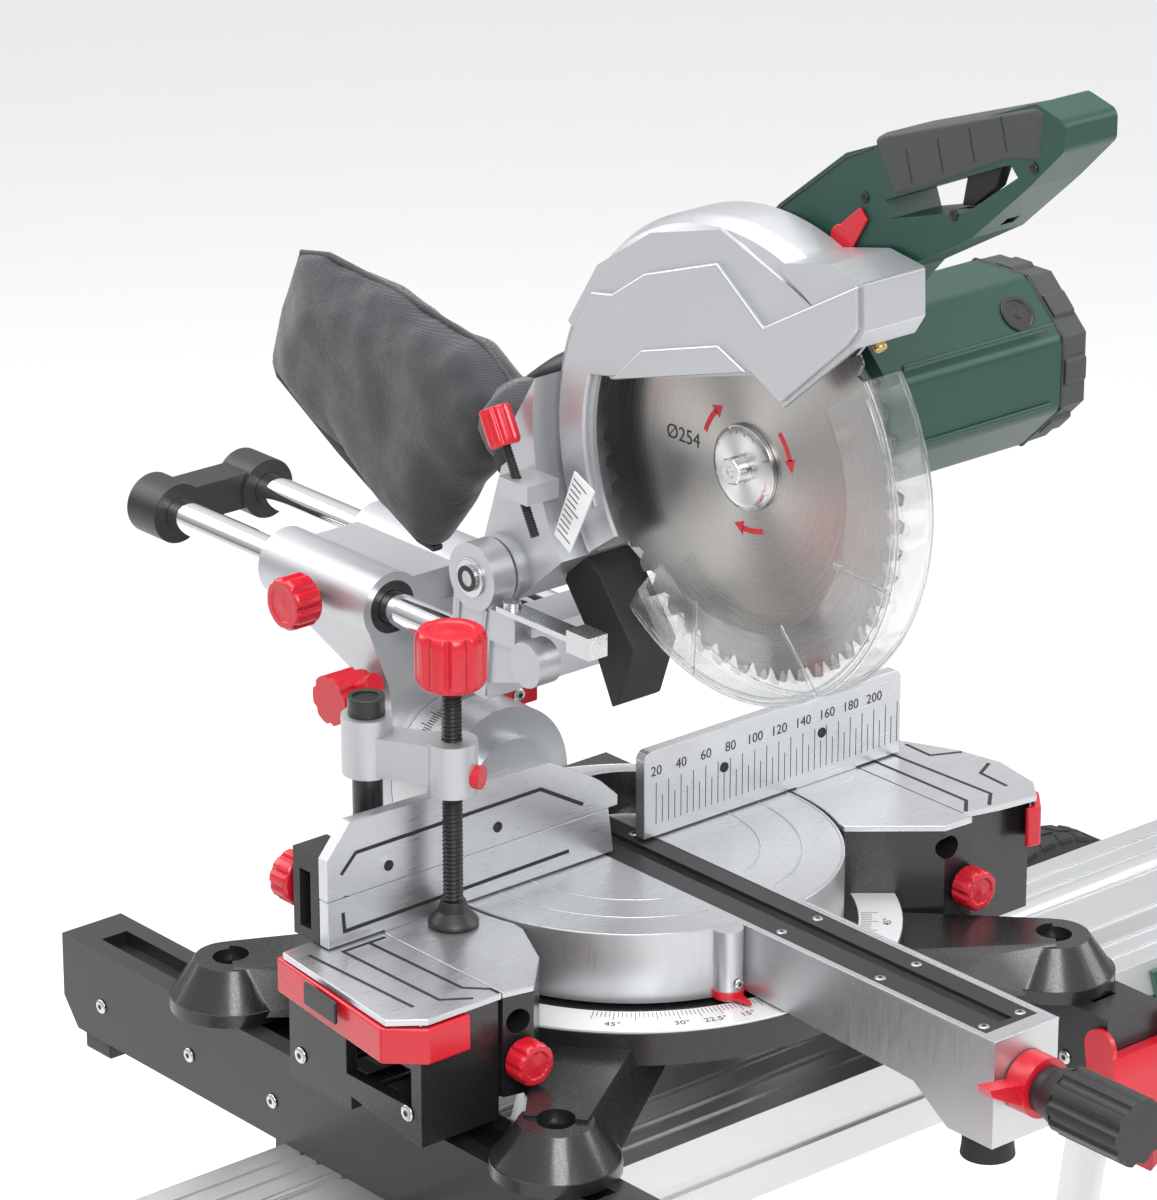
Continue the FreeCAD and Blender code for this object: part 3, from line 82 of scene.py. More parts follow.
# ---------------------------------------------------------------- materials
class Graph:
    """A few shorthands for building one node material."""

    def __init__(self, name):
        self.material = bpy.data.materials.new(name)
        self.material.use_nodes = True
        self.tree = self.material.node_tree
        self.shader = self.tree.nodes["Principled BSDF"]
        self.coords = self.tree.nodes.new("ShaderNodeTexCoord").outputs["Object"]

    def new(self, kind, **values):
        node = self.tree.nodes.new(kind)
        for key, value in values.items():
            if hasattr(node, key):
                setattr(node, key, value)
            else:
                node.inputs[key.replace("_", " ")].default_value = value
        return node

    def link(self, source, target):
        self.tree.links.new(source, target)

    def stretched(self, scale):
        mapping = self.new("ShaderNodeMapping")
        mapping.inputs["Scale"].default_value = scale
        self.link(self.coords, mapping.inputs["Vector"])
        return mapping.outputs["Vector"]

    def noise(self, size, stretch=(1, 1, 1), detail=3.0):
        """Noise whose blobs are about size metres across."""
        node = self.new("ShaderNodeTexNoise", Scale=1.0 / size, Detail=detail)
        self.link(self.stretched(stretch), node.inputs["Vector"])
        return node.outputs["Fac"]

    def spread(self, value, low, high):
        node = self.new("ShaderNodeMapRange")
        node.inputs["From Min"].default_value = 0.3
        node.inputs["From Max"].default_value = 0.7
        node.inputs["To Min"].default_value = low
        node.inputs["To Max"].default_value = high
        self.link(value, node.inputs["Value"])
        return node.outputs["Result"]

    def step(self, kind, operation, *values):
        """One maths node fed with numbers, vectors or sockets."""
        node = self.new(kind, operation=operation)
        for socket, value in zip(node.inputs, values):
            if hasattr(value, "links"):
                self.link(value, socket)
            else:
                socket.default_value = value
        return node.outputs["Value" if operation == "LENGTH" else 0]

    def mix(self, factor, first, second):
        node = self.new("ShaderNodeMix", data_type="RGBA")
        self.link(factor, node.inputs[0])
        for socket, colour in ((node.inputs[6], first), (node.inputs[7], second)):
            if hasattr(colour, "links"):
                self.link(colour, socket)
            else:
                socket.default_value = (*colour, 1.0)
        return node.outputs[2]

    def bump(self, height, distance, strength=1.0):
        node = self.new("ShaderNodeBump", Strength=strength, Distance=distance)
        self.link(height, node.inputs["Height"])
        self.link(node.outputs["Normal"], self.shader.inputs["Normal"])


def surface(name, colour, metallic, rough, rough_spread=0.05, tint=0.06, grain=0.0008,
            depth=0.00002, stretch=(1, 1, 1), coat=0.0, specular=0.5):
    """A solid finish: colour that varies a little, uneven gloss and a fine grain in relief."""
    graph = Graph(name)
    shader = graph.shader
    shader.inputs["Metallic"].default_value = metallic
    shader.inputs["Specular IOR Level"].default_value = specular
    shader.inputs["Coat Weight"].default_value = coat
    shader.inputs["Coat Roughness"].default_value = 0.15
    dark = [c * (1 - tint) for c in colour]
    light = [min(1.0, c * (1 + tint)) for c in colour]
    wide = graph.noise(0.05, stretch)
    graph.link(graph.mix(wide, dark, light), shader.inputs["Base Color"])
    fine = graph.noise(grain, stretch, detail=2.0)
    graph.link(graph.spread(fine, rough - rough_spread, rough + rough_spread),
               shader.inputs["Roughness"])
    graph.bump(fine, depth, 0.6)
    return graph.material


def clear_plastic(name, alpha):
    """Clear moulded plastic; a low alpha for panes, a high one for ribs and rims."""
    graph = Graph(name)
    shader = graph.shader
    shader.inputs["Base Color"].default_value = (0.93, 0.95, 0.955, 1)
    shader.inputs["Transmission Weight"].default_value = 1.0
    shader.inputs["IOR"].default_value = 1.3
    shader.inputs["Alpha"].default_value = alpha
    haze = graph.noise(0.03)
    graph.link(graph.spread(haze, 0.03, 0.10), shader.inputs["Roughness"])
    return graph.material


def turned_steel(name, centre, colour, rough):
    """Ground steel whose fine scratches run in rings round an X axis; its colour also carries a painted
    highlight in four bright and dark lobes round that axis.
    """
    graph = Graph(name)
    shader = graph.shader
    shader.inputs["Metallic"].default_value = 1.0
    centred = graph.step("ShaderNodeVectorMath", "SUBTRACT", graph.coords, centre)
    across = graph.step("ShaderNodeVectorMath", "MULTIPLY", centred, (0, 1, 1))
    radius = graph.step("ShaderNodeVectorMath", "LENGTH", across)
    rings = graph.new("ShaderNodeTexNoise", noise_dimensions="1D", Scale=1.0)
    graph.link(graph.step("ShaderNodeMath", "MULTIPLY", radius, 1500.0), rings.inputs["W"])
    parts = graph.new("ShaderNodeSeparateXYZ")
    graph.link(centred, parts.inputs[0])
    turn = graph.step("ShaderNodeMath", "ARCTAN2", parts.outputs["Z"], parts.outputs["Y"])
    # painted highlight: the base colour brightens and darkens in four lobes round the axis, standing in for
    # the reflection on turned steel
    painted_highlight_wave = graph.step("ShaderNodeMath", "SINE", graph.step("ShaderNodeMath", "MULTIPLY", turn, 4.0))
    painted_highlight_lobes = graph.new("ShaderNodeMapRange")
    painted_highlight_lobes.inputs["From Min"].default_value = -1.0
    graph.link(painted_highlight_wave, painted_highlight_lobes.inputs["Value"])
    graph.link(graph.mix(painted_highlight_lobes.outputs["Result"], [c * 0.62 for c in colour], colour),
               shader.inputs["Base Color"])
    graph.link(graph.spread(rings.outputs["Fac"], rough - 0.08, rough + 0.08),
               shader.inputs["Roughness"])
    graph.bump(rings.outputs["Fac"], 0.00003, 0.5)
    return graph.material


def woven_fabric(name, colour):
    """Dull cloth with a fine weave, dusty patches and soft creases."""
    graph = Graph(name)
    shader = graph.shader
    shader.inputs["Roughness"].default_value = 0.72
    shader.inputs["Sheen Weight"].default_value = 0.35
    shader.inputs["Sheen Roughness"].default_value = 0.4
    threads = []
    for direction in ("Y", "Z"):
        wave = graph.new("ShaderNodeTexWave", bands_direction=direction, Scale=260.0, Distortion=0.6,
                         Detail=1.0)
        graph.link(graph.coords, wave.inputs["Vector"])
        threads.append(wave.outputs["Fac"])
    weave = graph.step("ShaderNodeMath", "MULTIPLY", *threads)
    dusty = graph.mix(graph.noise(0.09), [c * 0.75 for c in colour], [c * 1.35 for c in colour])
    graph.link(graph.mix(weave, dusty, [c * 1.5 for c in colour]), shader.inputs["Base Color"])
    creases = graph.step("ShaderNodeMath", "MULTIPLY_ADD", graph.noise(0.03, (1, 1, 1.8)), 8.0, weave)
    graph.bump(creases, 0.00035, 0.8)
    return graph.material


BLADE_CENTRE = at(0, BLADE_Y, BLADE_Z)
SILVER = surface("silver_casting", (0.50, 0.51, 0.53), 0.7, 0.38, 0.06, 0.03, 0.0012, 0.00004)
MACHINED = surface("machined_aluminium", (0.60, 0.61, 0.63), 0.9, 0.34, 0.09, 0.05, 0.0006, 0.00002,
                   (0.03, 1, 1))
TURNED = surface("turned_aluminium", (0.56, 0.57, 0.585), 0.85, 0.36, 0.07, 0.04, 0.0007, 0.00002,
                 (1, 1, 0.05))
ANODISED = surface("anodised_extrusion", (0.60, 0.61, 0.62), 0.85, 0.38, 0.05, 0.03, 0.0007, 0.00001,
                   (0.02, 1, 1))
CHROME = surface("hard_chrome", (0.80, 0.81, 0.83), 1.0, 0.07, 0.02, 0.02, 0.002, 0.000004, (1, 0.05, 1))
ZINC = surface("zinc_steel", (0.60, 0.61, 0.62), 1.0, 0.27, 0.06, 0.05, 0.001, 0.00002)
BRASS = surface("brass", (0.62, 0.44, 0.18), 1.0, 0.25)
BLACK_METAL = surface("black_powder_coat", (0.012, 0.012, 0.013), 0.0, 0.34, 0.06, 0.10, 0.0010, 0.00006,
                      coat=0.15)
BLACK_CAST = surface("black_casting_paint", (0.013, 0.013, 0.014), 0.0, 0.30, 0.06, 0.12, 0.0014, 0.00002,
                     coat=0.25)
BLACK = surface("black_plastic", (0.016, 0.016, 0.017), 0.0, 0.42, 0.06, 0.10, 0.0007, 0.00004)
OXIDE = surface("black_oxide_steel", (0.02, 0.02, 0.021), 0.4, 0.32, 0.07, 0.10, 0.0008, 0.00002)
RUBBER = surface("black_rubber", (0.012, 0.012, 0.012), 0.0, 0.62, 0.08, 0.15, 0.0010, 0.00006)
TYRE = surface("tyre", (0.016, 0.016, 0.016), 0.0, 0.70, 0.06, 0.15, 0.0015, 0.00008)
RED = surface("red_plastic", (0.55, 0.008, 0.022), 0.0, 0.30, 0.05, 0.06, 0.0009, 0.00003, coat=0.2)
GREEN = surface("green_plastic", (0.008, 0.050, 0.036), 0.0, 0.36, 0.05, 0.08, 0.0006, 0.00006)
GREEN_METAL = surface("green_powder_coat", (0.008, 0.072, 0.046), 0.0, 0.33, 0.05, 0.08, 0.0011, 0.00005,
                      coat=0.2)
CHARCOAL = surface("charcoal_soft_plastic", (0.042, 0.044, 0.048), 0.0, 0.55, 0.06, 0.10, 0.0006, 0.00008)
GREY = surface("grey_plastic", (0.34, 0.35, 0.36), 0.0, 0.42, 0.05, 0.05)
SCALE_WHITE = surface("scale_plate", (0.78, 0.79, 0.80), 0.25, 0.32, 0.04, 0.03, 0.001, 0.00001)
INK = surface("black_ink", (0.015, 0.015, 0.016), 0.0, 0.45)
RED_INK = surface("red_ink", (0.50, 0.01, 0.02), 0.0, 0.45)
BLADE_STEEL = turned_steel("blade_steel", BLADE_CENTRE, (0.47, 0.455, 0.44), 0.30)
FLANGE_STEEL = turned_steel("flange_steel", BLADE_CENTRE, (0.72, 0.72, 0.72), 0.22)
CLEAR = clear_plastic("clear_polycarbonate", 0.30)
CLEAR_EDGE = clear_plastic("clear_polycarbonate_rim", 0.85)
FABRIC = woven_fabric("bag_fabric", (0.026, 0.028, 0.032))


# ---------------------------------------------------------------- dressing the CAD nodes
def dress(node, base, *rules, bevel=0.6):
    """Give a CAD node its finish. Each rule is (material, test of a face centre in table mm)."""
    obj = nodes[node]
    mesh = obj.data
    mesh.materials.clear()
    mesh.materials.append(base)
    for material, _ in rules:
        mesh.materials.append(material)
    for face in mesh.polygons:
        face.use_smooth = True
        face.material_index = 0
        place = (face.center - Vector((0, 0, TABLE_Z))) / MM
        for index, (_, test) in enumerate(rules):
            if test(place, face.normal):
                face.material_index = index + 1
    normals = mesh.attributes.get("custom_normal")
    if normals:
        mesh.attributes.remove(normals)
    weld = obj.modifiers.new("weld", "WELD")
    weld.merge_threshold = 0.00002
    flat = obj.modifiers.new("flat", "DECIMATE")
    flat.decimate_type = "DISSOLVE"
    flat.angle_limit = math.radians(1.0)
    flat.delimit = {"MATERIAL"}
    if bevel:
        edge = obj.modifiers.new("edge", "BEVEL")
        edge.width = bevel * MM
        edge.segments = 2
        edge.limit_method = "ANGLE"
        edge.angle_limit = math.radians(32)
        edge.use_clamp_overlap = True
    even = obj.modifiers.new("even", "WEIGHTED_NORMAL")
    even.keep_sharp = False


# nodes of one finish: name, material, width of the rounded edges in mm
PLAIN_NODES = (
    ("stand_rail", ANODISED, 0.5), ("rail_end_caps", BLACK, 1.0), ("leg_brackets", GREEN_METAL, 0.6),
    ("machine_arms", BLACK_METAL, 1.2), ("trolley_handles", BLACK_METAL, 0), ("wheel_axle", ZINC, 0.6),
    ("stand_latches", RED, 1.2), ("roller_left", CHROME, 0.8), ("roller_right", BLACK_METAL, 0.8),
    ("base_casting", BLACK_CAST, 0.8), ("saddle_bolts", ZINC, 0.6), ("mitre_scale", SCALE_WHITE, 0.2),
    ("table_tops", MACHINED, 0.6), ("extension_knob_left", RED, 0.6), ("extension_knob_right", RED, 0.6),
    ("fence_knob", RED, 0.6), ("table_insert", BLACK, 0.3), ("mitre_grip", BLACK, 1.2),
    ("detent_lever", RED, 0.8), ("bevel_arm", SILVER, 1.5), ("rail_bushes", BLACK, 0.8),
    ("slide_knob", RED, 1.0), ("bevel_lever", RED, 1.2), ("rails", CHROME, 0.8),
    ("rail_end_cap", BLACK, 1.5), ("head_mount", SILVER, 1.2), ("depth_stop_plate", ZINC, 0.5),
    ("guard_cover", SILVER, 1.5), ("motor_housing", GREEN, 1.5), ("motor_cap", CHARCOAL, 1.5),
    ("handle", GREEN, 2.0), ("trigger", BLACK, 1.0), ("lock_lever", RED, 0.8),
    ("chip_deflector", RUBBER, 0.8), ("lower_guard", CLEAR, 0.3), ("blade", BLADE_STEEL, 0),
    ("blade_flange", FLANGE_STEEL, 0.4), ("clamp_post", BLACK_METAL, 0.8)
)
for node, finish, width in PLAIN_NODES:
    dress(node, finish, bevel=width)
for place in ("front_left", "rear_left", "front_right", "rear_right"):
    rules = [(BLACK, lambda p, n: p.z < -850)]
    if place == "front_right":
        rules.append((RED, lambda p, n: p.z < -868))
    dress("leg_" + place, ANODISED, (BLACK, lambda p, n: p.z > -330), *rules)
for side in ("left", "right"):
    dress("roller_arm_" + side, ANODISED, (RED, lambda p, n: p.y < -42), bevel=0.8)
    dress("roller_frame_" + side, ANODISED if side == "left" else BLACK_METAL,
          (BLACK, lambda p, n: p.y < -181 or p.y > 141), (ANODISED, lambda p, n: p.z < -50), bevel=0.8)
    dress("arm_clamp_lever_" + side, RED, bevel=1.5)
for side in ("front", "rear"):
    dress("wheel_" + side, GREY,
          (TYRE, lambda p, n: math.hypot(p.x - WHEEL_X, p.z - WHEEL_HEIGHT - FLOOR) > 66.5), bevel=1.0)

dress("fence_lower", MACHINED, (BLACK_CAST, lambda p, n: n.y < -0.2 and p.y > 9 and abs(p.x) < 52),
      bevel=0.5)
for side in ("left", "right"):
    dress("extension_" + side, BLACK_CAST, (MACHINED, lambda p, n: p.z > -4.05), bevel=0.6)
dress("fence_left_upper", MACHINED, (BLACK, lambda p, n: p.y > 8.2), bevel=0.6)
dress("turntable", MACHINED, (TURNED, lambda p, n: abs(n.z) < 0.3), bevel=0.6)
dress("support_foot", RUBBER, (ZINC, lambda p, n: p.z > -73))
dress("depth_screw", RED, (OXIDE, lambda p, n: p.z < 253), bevel=0.6)
dress("clamp_arm", SILVER,
      (RED, lambda p, n: math.hypot(p.x + 152, p.y + 17) > 15.3 and p.z < 103 and p.y < -26), bevel=1.2)
dress("clamp_screw", RED, (OXIDE, lambda p, n: p.z < 149), (BLACK, lambda p, n: p.z < 15), bevel=1.2)


# ---------------------------------------------------------------- piece makers
AXES = {"X": (0, 1, 2), "Y": (1, 0, 2), "Z": (2, 0, 1)}


def on_plane(axis, level, u, v):
    """A table-frame point (mm) from its place in the plane across an axis."""
    point = [0.0, 0.0, 0.0]
    for slot, value in zip(AXES[axis], (level, u, v)):
        point[slot] = value
    return at(*point)


def round_blade(radius, degrees):
    """A (y, z) point round the blade's axis; 0 degrees is the front, 90 the top."""
    turn = math.radians(degrees)
    return BLADE_Y - radius * math.cos(turn), BLADE_Z + radius * math.sin(turn)


SLOTS = {SILVER: "aluminium", MACHINED: "machined_top", ZINC: "bright_steel", BRASS: "bright_steel",
         OXIDE: "black_steel", BLACK: "black_plastic", INK: "black_plastic", RUBBER: "black_rubber",
         RED: "red_plastic", RED_INK: "red_plastic", GREEN: "green_plastic", CHARCOAL: "charcoal_plastic",
         SCALE_WHITE: "scale_plate", CLEAR_EDGE: "clear_plastic", FABRIC: "bag_fabric", TYRE: "tyre"}


def add_piece(name, mesh, material, body, bevel=0.0, segments=2, slot=None):
    """Link a mesh as a piece that rides on a body, with smooth faces and rounded edges."""
    slot = slot or SLOTS[material]
    obj = bpy.data.objects.new(name, mesh)
    bpy.context.scene.collection.objects.link(obj)
    for face in mesh.polygons:
        face.use_smooth = True
    mesh.materials.append(material)
    if bevel:
        edge = obj.modifiers.new("edge", "BEVEL")
        edge.width = bevel * MM
        edge.segments = segments
        edge.limit_method = "ANGLE"
        edge.angle_limit = math.radians(30)
    even = obj.modifiers.new("even", "WEIGHTED_NORMAL")
    even.keep_sharp = False
    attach(obj, body)


def mesh_from(name, points, faces):
    mesh = bpy.data.meshes.new(name)
    mesh.from_pydata([tuple(p) for p in points], [], faces)
    shape = bmesh.new()
    shape.from_mesh(mesh)
    bmesh.ops.recalc_face_normals(shape, faces=shape.faces)
    shape.to_mesh(mesh)
    shape.free()
    return mesh


BLOCK_FACES = ((0, 1, 3, 2), (4, 6, 7, 5), (0, 4, 5, 1), (2, 3, 7, 6), (0, 2, 6, 4), (1, 5, 7, 3))


def block_faces(start):
    """Faces of the eight corners that begin at one index."""
    return [[start + corner for corner in face] for face in BLOCK_FACES]


def line_frame(start, toward):
    """Origin, direction and two cross directions of the line between two points (table mm)."""
    origin, axis = at(*start), (at(*toward) - at(*start)).normalized()
    across = axis.orthogonal().normalized()
    return origin, axis, across, axis.cross(across)


def tube_faces(gaps, sides):
    """Faces across the gaps between rings of points."""
    return [[row * sides + i, row * sides + (i + 1) % sides, (row + 1) * sides + (i + 1) % sides,
             (row + 1) * sides + i] for row in range(gaps) for i in range(sides)]


def slab(name, outline, axis, span, material, body, bevel=0.4, segments=2):
    """A flat outline (mm) with thickness from span[0] to span[1] along the axis."""
    count = len(outline)
    points = [on_plane(axis, level, u, v) for level in span for u, v in outline]
    faces = [list(range(count)), list(range(count, 2 * count))]
    faces += [[i, (i + 1) % count, count + (i + 1) % count, count + i] for i in range(count)]
    add_piece(name, mesh_from(name, points, faces), material, body, bevel, segments)


def ribbon_mesh(points, faces, stroke, axis, span, width):
    """Add one mitred strip along a stroke of plane points (mm)."""
    half = width / 2
    start = len(points)
    count = len(stroke)
    for i, (u, v) in enumerate(stroke):
        before = Vector(stroke[max(i - 1, 0)])
        after = Vector(stroke[min(i + 1, count - 1)])
        here = Vector((u, v))
        ins = (here - before).normalized() if i else (after - here).normalized()
        outs = (after - here).normalized() if i < count - 1 else ins
        side = Vector((-(ins + outs).y, (ins + outs).x)).normalized()
        reach = half / max(0.4, side.dot(Vector((-ins.y, ins.x))))
        for sign in (-1, 1):
            edge = here + side * reach * sign
            for level in span:
                points.append(on_plane(axis, level, edge.x, edge.y))
    for i in range(count - 1):
        a = start + 4 * i
        b = a + 4
        faces += [[a, b, b + 1, a + 1], [a + 2, a + 3, b + 3, b + 2], [a, a + 2, b + 2, b],
                  [a + 1, b + 1, b + 3, a + 3]]
    a = start
    b = start + 4 * (count - 1)
    faces += [[a, a + 1, a + 3, a + 2], [b, b + 2, b + 3, b + 1]]


def ribbons(name, strokes, axis, span, width, material, body):
    """Mitred strips along strokes of plane points (mm), in one mesh."""
    points, faces = [], []
    for stroke in strokes:
        ribbon_mesh(points, faces, stroke, axis, span, width)
    add_piece(name, mesh_from(name, points, faces), material, body)


def arc(radius, first, last, steps=24, centre=(0, 0)):
    """Plane points on an arc, in degrees from the first plane axis."""
    turns = [math.radians(first + (last - first) * i / steps) for i in range(steps + 1)]
    return [(centre[0] + radius * math.cos(t), centre[1] + radius * math.sin(t)) for t in turns]


def lathe(name, profile, start, toward, material, body, bevel=0.0, sides=48, wave=None, hollow=False,
          slot=None):
    """Turn (along, radius) pairs in mm about the line from start toward a point (table mm).

    The ends are closed with discs, or on a hollow ring the last circle joins the first.
    """
    origin, axis, across, other = line_frame(start, toward)
    points = []
    for along, radius in profile:
        for i in range(sides):
            turn = 2 * math.pi * i / sides
            reach = radius * (wave(turn, along) if wave else 1.0)
            out = across * math.cos(turn) + other * math.sin(turn)
            points.append(origin + axis * along * MM + out * reach * MM)
    faces = tube_faces(len(profile) - 1, sides)
    last = (len(profile) - 1) * sides
    if hollow:
        faces += [[last + i, last + (i + 1) % sides, (i + 1) % sides, i] for i in range(sides)]
    else:
        faces += [list(range(sides)), list(range(last, last + sides))]
    add_piece(name, mesh_from(name, points, faces), material, body, bevel, slot=slot)


def red_knob(name, start, end, radius, body, flutes=8):
    """Moulded hand knob: scooped flutes, rounded rim and a dished cap."""
    height = (Vector(end) - Vector(start)).length
    profile = [(0, radius * 0.55), (0, radius * 0.86), (height * 0.05, radius * 0.93),
               (height * 0.13, radius), (height * 0.5, radius), (height * 0.84, radius),
               (height * 0.94, radius * 0.96), (height, radius * 0.88), (height, radius * 0.66),
               (height - 0.8, radius * 0.62), (height - 0.8, radius * 0.3), (height - 0.2, 0.3)]

    def scoop(turn, along):
        inside = 0.1 < along / height < 0.96
        return 1 - (0.13 * max(0.0, math.cos(flutes * turn)) ** 2 if inside else 0.0)

    lathe(name, profile, start, end, RED, body, 0.4, 96, scoop)


def thread(name, start, end, outer, inner, pitch, material, body):
    """A real helical thread on a rod, with domed flanks."""
    origin, axis, across, other = line_frame(start, end)
    length = (Vector(end) - Vector(start)).length
    sides, rows = 24, int(length / pitch * 6)
    points = []
    for row in range(rows + 1):
        for i in range(sides):
            turn = 2 * math.pi * i / sides
            along = length * row / rows
            phase = 0.5 + 0.5 * math.cos(2 * math.pi * along / pitch - turn)
            reach = inner + (outer - inner) * phase
            out = across * math.cos(turn) + other * math.sin(turn)
            points.append(origin + (axis * along + out * reach) * MM)
    faces = tube_faces(rows, sides)
    faces += [list(range(sides)), list(range(rows * sides, (rows + 1) * sides))]
    add_piece(name, mesh_from(name, points, faces), material, body)


def from_curve(name, curve):
    """The bare mesh of a curve or a text."""
    holder = bpy.data.objects.new(name, curve)
    bpy.context.scene.collection.objects.link(holder)
    bpy.context.view_layer.update()
    mesh = bpy.data.meshes.new_from_object(holder)
    bpy.data.objects.remove(holder)
    mesh.materials.clear()
    return mesh


def pipe_run(name, path, radius, material, body, smooth=True):
    """A round tube along table-frame points."""
    curve = bpy.data.curves.new(name, "CURVE")
    curve.dimensions = "3D"
    curve.bevel_depth = radius * MM
    curve.bevel_resolution = 4
    curve.use_fill_caps = True
    spline = curve.splines.new("NURBS" if smooth else "POLY")
    spline.points.add(len(path) - 1)
    for spot, place in zip(spline.points, path):
        spot.co = (*at(*place), 1)
    if smooth:
        spline.order_u = 3
        spline.use_endpoint_u = True
    add_piece(name, from_curve(name, curve), material, body)


def numbers(name, items, material, body):
    """Flat numerals in one mesh. Each item is (text, centre, right, up, height in mm)."""
    whole = bmesh.new()
    for text, centre, right, up, height in items:
        curve = bpy.data.curves.new(name, "FONT")
        curve.body = text
        curve.size = height * 1.4 * MM
        curve.align_x = "CENTER"
        curve.align_y = "CENTER"
        curve.extrude = 0.00005
        curve.resolution_u = 4
        mesh = from_curve(name, curve)
        across, rise = Vector(right).normalized(), Vector(up).normalized()
        facing = across.cross(rise)
        turn = Matrix((across, rise, facing)).transposed().to_4x4()
        mesh.transform(Matrix.Translation(at(*centre)) @ turn)
        whole.from_mesh(mesh)
    joined = bpy.data.meshes.new(name)
    whole.to_mesh(joined)
    whole.free()
    add_piece(name, joined, material, body)


def screw_head(name, place, toward, radius, body, material=ZINC):
    """Pan head screw; its six-sided recess is a thin black disc on the head, painted shade."""
    lathe(name, [(0, radius), (0.9, radius), (1.5, radius * 0.82), (1.7, radius * 0.45)],
          place, toward, material, body, 0.0, 32, slot="bright_steel")
    axis = (Vector(toward) - Vector(place)).normalized()
    low = Vector(place) + axis * 1.6
    # painted shade: a thin black six-sided disc on top of the head stands in for the dark inside of the
    # recess
    lathe(name + "_recess_painted_shade", [(0, radius * 0.4), (0.18, radius * 0.4)], tuple(low),
          tuple(low + axis), OXIDE, body, 0.0, 6)


# ---------------------------------------------------------------- saw table, fence and scales
def table_inlays():
    """Black grip inlays let into both sliding table ends."""
    left = [[(-243, 3), (-241, -90)], [(-194, -6), (-225, -6), (-224, -92), (-208, -103)],
            [(-206, -7), (-204, -88), (-192.5, -100), (-192.5, -107)]]
    right = [[(189, 2), (202, 1), (202, -81), (190, -93)], [(218, 2), (221, -83), (208, -95)],
             [(236, 8), (235, -15), (254, -24)], [(254, -48), (239, -56), (237, -81)]]
    ribbons("inlays_left", left, "Z", (-0.2, 0.12), 2.4, RUBBER, "extension_left")
    ribbons("inlays_right", right, "Z", (-0.2, 0.12), 2.4, RUBBER, "extension_right")


def fence_marks():
    """Inlay strips and screw holes on the left fence, the millimetre scale on the right. The screw holes are
    thin black discs on the fence face: painted shade.
    """
    upper = [[(-221, 45), (-210, 56), (-71, 57), (-38, 38)]]
    lower = [[(-220, 21), (-219, 9), (-49, 11)]]
    ribbons("fence_inlay_upper", upper, "Y", (-0.12, 0.2), 2.4, RUBBER, "fence_upper")
    ribbons("fence_inlay_lower", lower, "Y", (-0.12, 0.2), 2.4, RUBBER, "stand")
    # painted shade: each screw hole is a thin black disc on the fence face, standing in for the dark inside
    # of the hole
    for index, (x, z, body) in enumerate(((-186, 41, "fence_upper"), (-104, 42, "fence_upper"),
                                          (75, 31, "stand"), (156, 32, "stand"))):
        lathe(f"fence_hole_painted_shade_{index}", [(0, 3.3), (0.35, 3.3), (0.35, 2.2), (0.1, 2.0)], (x, -0.05, z),
              (x, -1, z), OXIDE, body, 0.0, 24)
    ticks = [[(x, 9), (x, 36 if x % 10 == 0 else 27)] for x in range(20, 221, 5)]
    ribbons("fence_ticks", ticks, "Y", (-0.08, 0.2), 0.55, INK, "stand")
    items = [(str(x), (x, -0.1, 43.5), (1, 0, 0), (0, 0, 1), 6.4) for x in range(20, 201, 20)]
    numbers("fence_numbers", items, INK, "stand")


def mitre_marks():
    """Degree ticks and numbers round the mitre scale."""
    ticks = []
    for degree in range(-50, 51):
        turn = math.radians(degree - 90)
        outer = 149.5 if degree % 5 == 0 else 145.5
        ticks.append([(139 * math.cos(turn), 139 * math.sin(turn)),
                      (outer * math.cos(turn), outer * math.sin(turn))])
    ribbons("mitre_ticks", ticks, "Z", (-44.5, -44.3), 0.4, INK, "stand")
    items = []
    for text, degree in (("0", 0), ("15", 15), ("22.5", 22.5), ("30", 30), ("45", 45)):
        for sign in (-1, 1) if degree else (1,):
            turn = math.radians(sign * degree - 90)
            centre = (155 * math.cos(turn), 155 * math.sin(turn), -44.3)
            items.append((text + "°", centre, (-math.sin(turn), math.cos(turn), 0),
                          (-math.cos(turn), -math.sin(turn), 0), 5.0))
    numbers("mitre_numbers", items, INK, "stand")


def turntable_details():
    """Raised rings and rims on the turntable, insert screws and the red mitre pointer."""
    strokes = []
    for radius in (78, 103, 127.2):
        gap = math.degrees(math.asin(26.5 / radius))
        strokes.append(arc(radius, -90 + gap, 90 - gap, 40))
        strokes.append(arc(radius, 90 + gap, 270 - gap, 40))
    ribbons("turntable_rings", strokes, "Z", (-0.3, 0.35), 1.1, MACHINED, "turntable")
    for index, (x, y) in enumerate(((-14, -149), (14.5, -149), (-14, -316), (14.5, -316), (-14, 14),
                                    (14.5, 14), (-14, -232), (14.5, -232))):
        screw_head(f"insert_screw_{index}", (x, y, -1.6), (x, y, 0), 3.6, "turntable")
    lathe("pointer_ring", [(0, 8.2), (0, 9.8), (5, 9.8), (5, 8.2)], (-34, -125, -43), (-34, -125, 0),
          RED, "turntable", 0.3, hollow=True)
    slab("pointer_tip", [(-38, -134), (-30, -134), (-32.4, -143), (-34, -146), (-35.6, -143)], "Z",
         (-43, -41), RED, "turntable", 0.3)
    screw_head("pointer_screw", (-34, -134.2, -33), (-34, -140, -33), 3.4, "turntable")
    for place, rim in (("left", [(-25.2, -126), (-22.4, -126), (-22.4, -334), (-25.2, -334)]),
                       ("right", [(22.4, -126), (25.2, -126), (25.2, -334), (22.4, -334)]),
                       ("front", [(-25.2, -333), (25.2, -333), (25.2, -336.4), (-25.2, -336.4)])):
        slab("arm_rim_" + place, rim, "Z", (-1, 0.5), MACHINED, "turntable", 0.4)


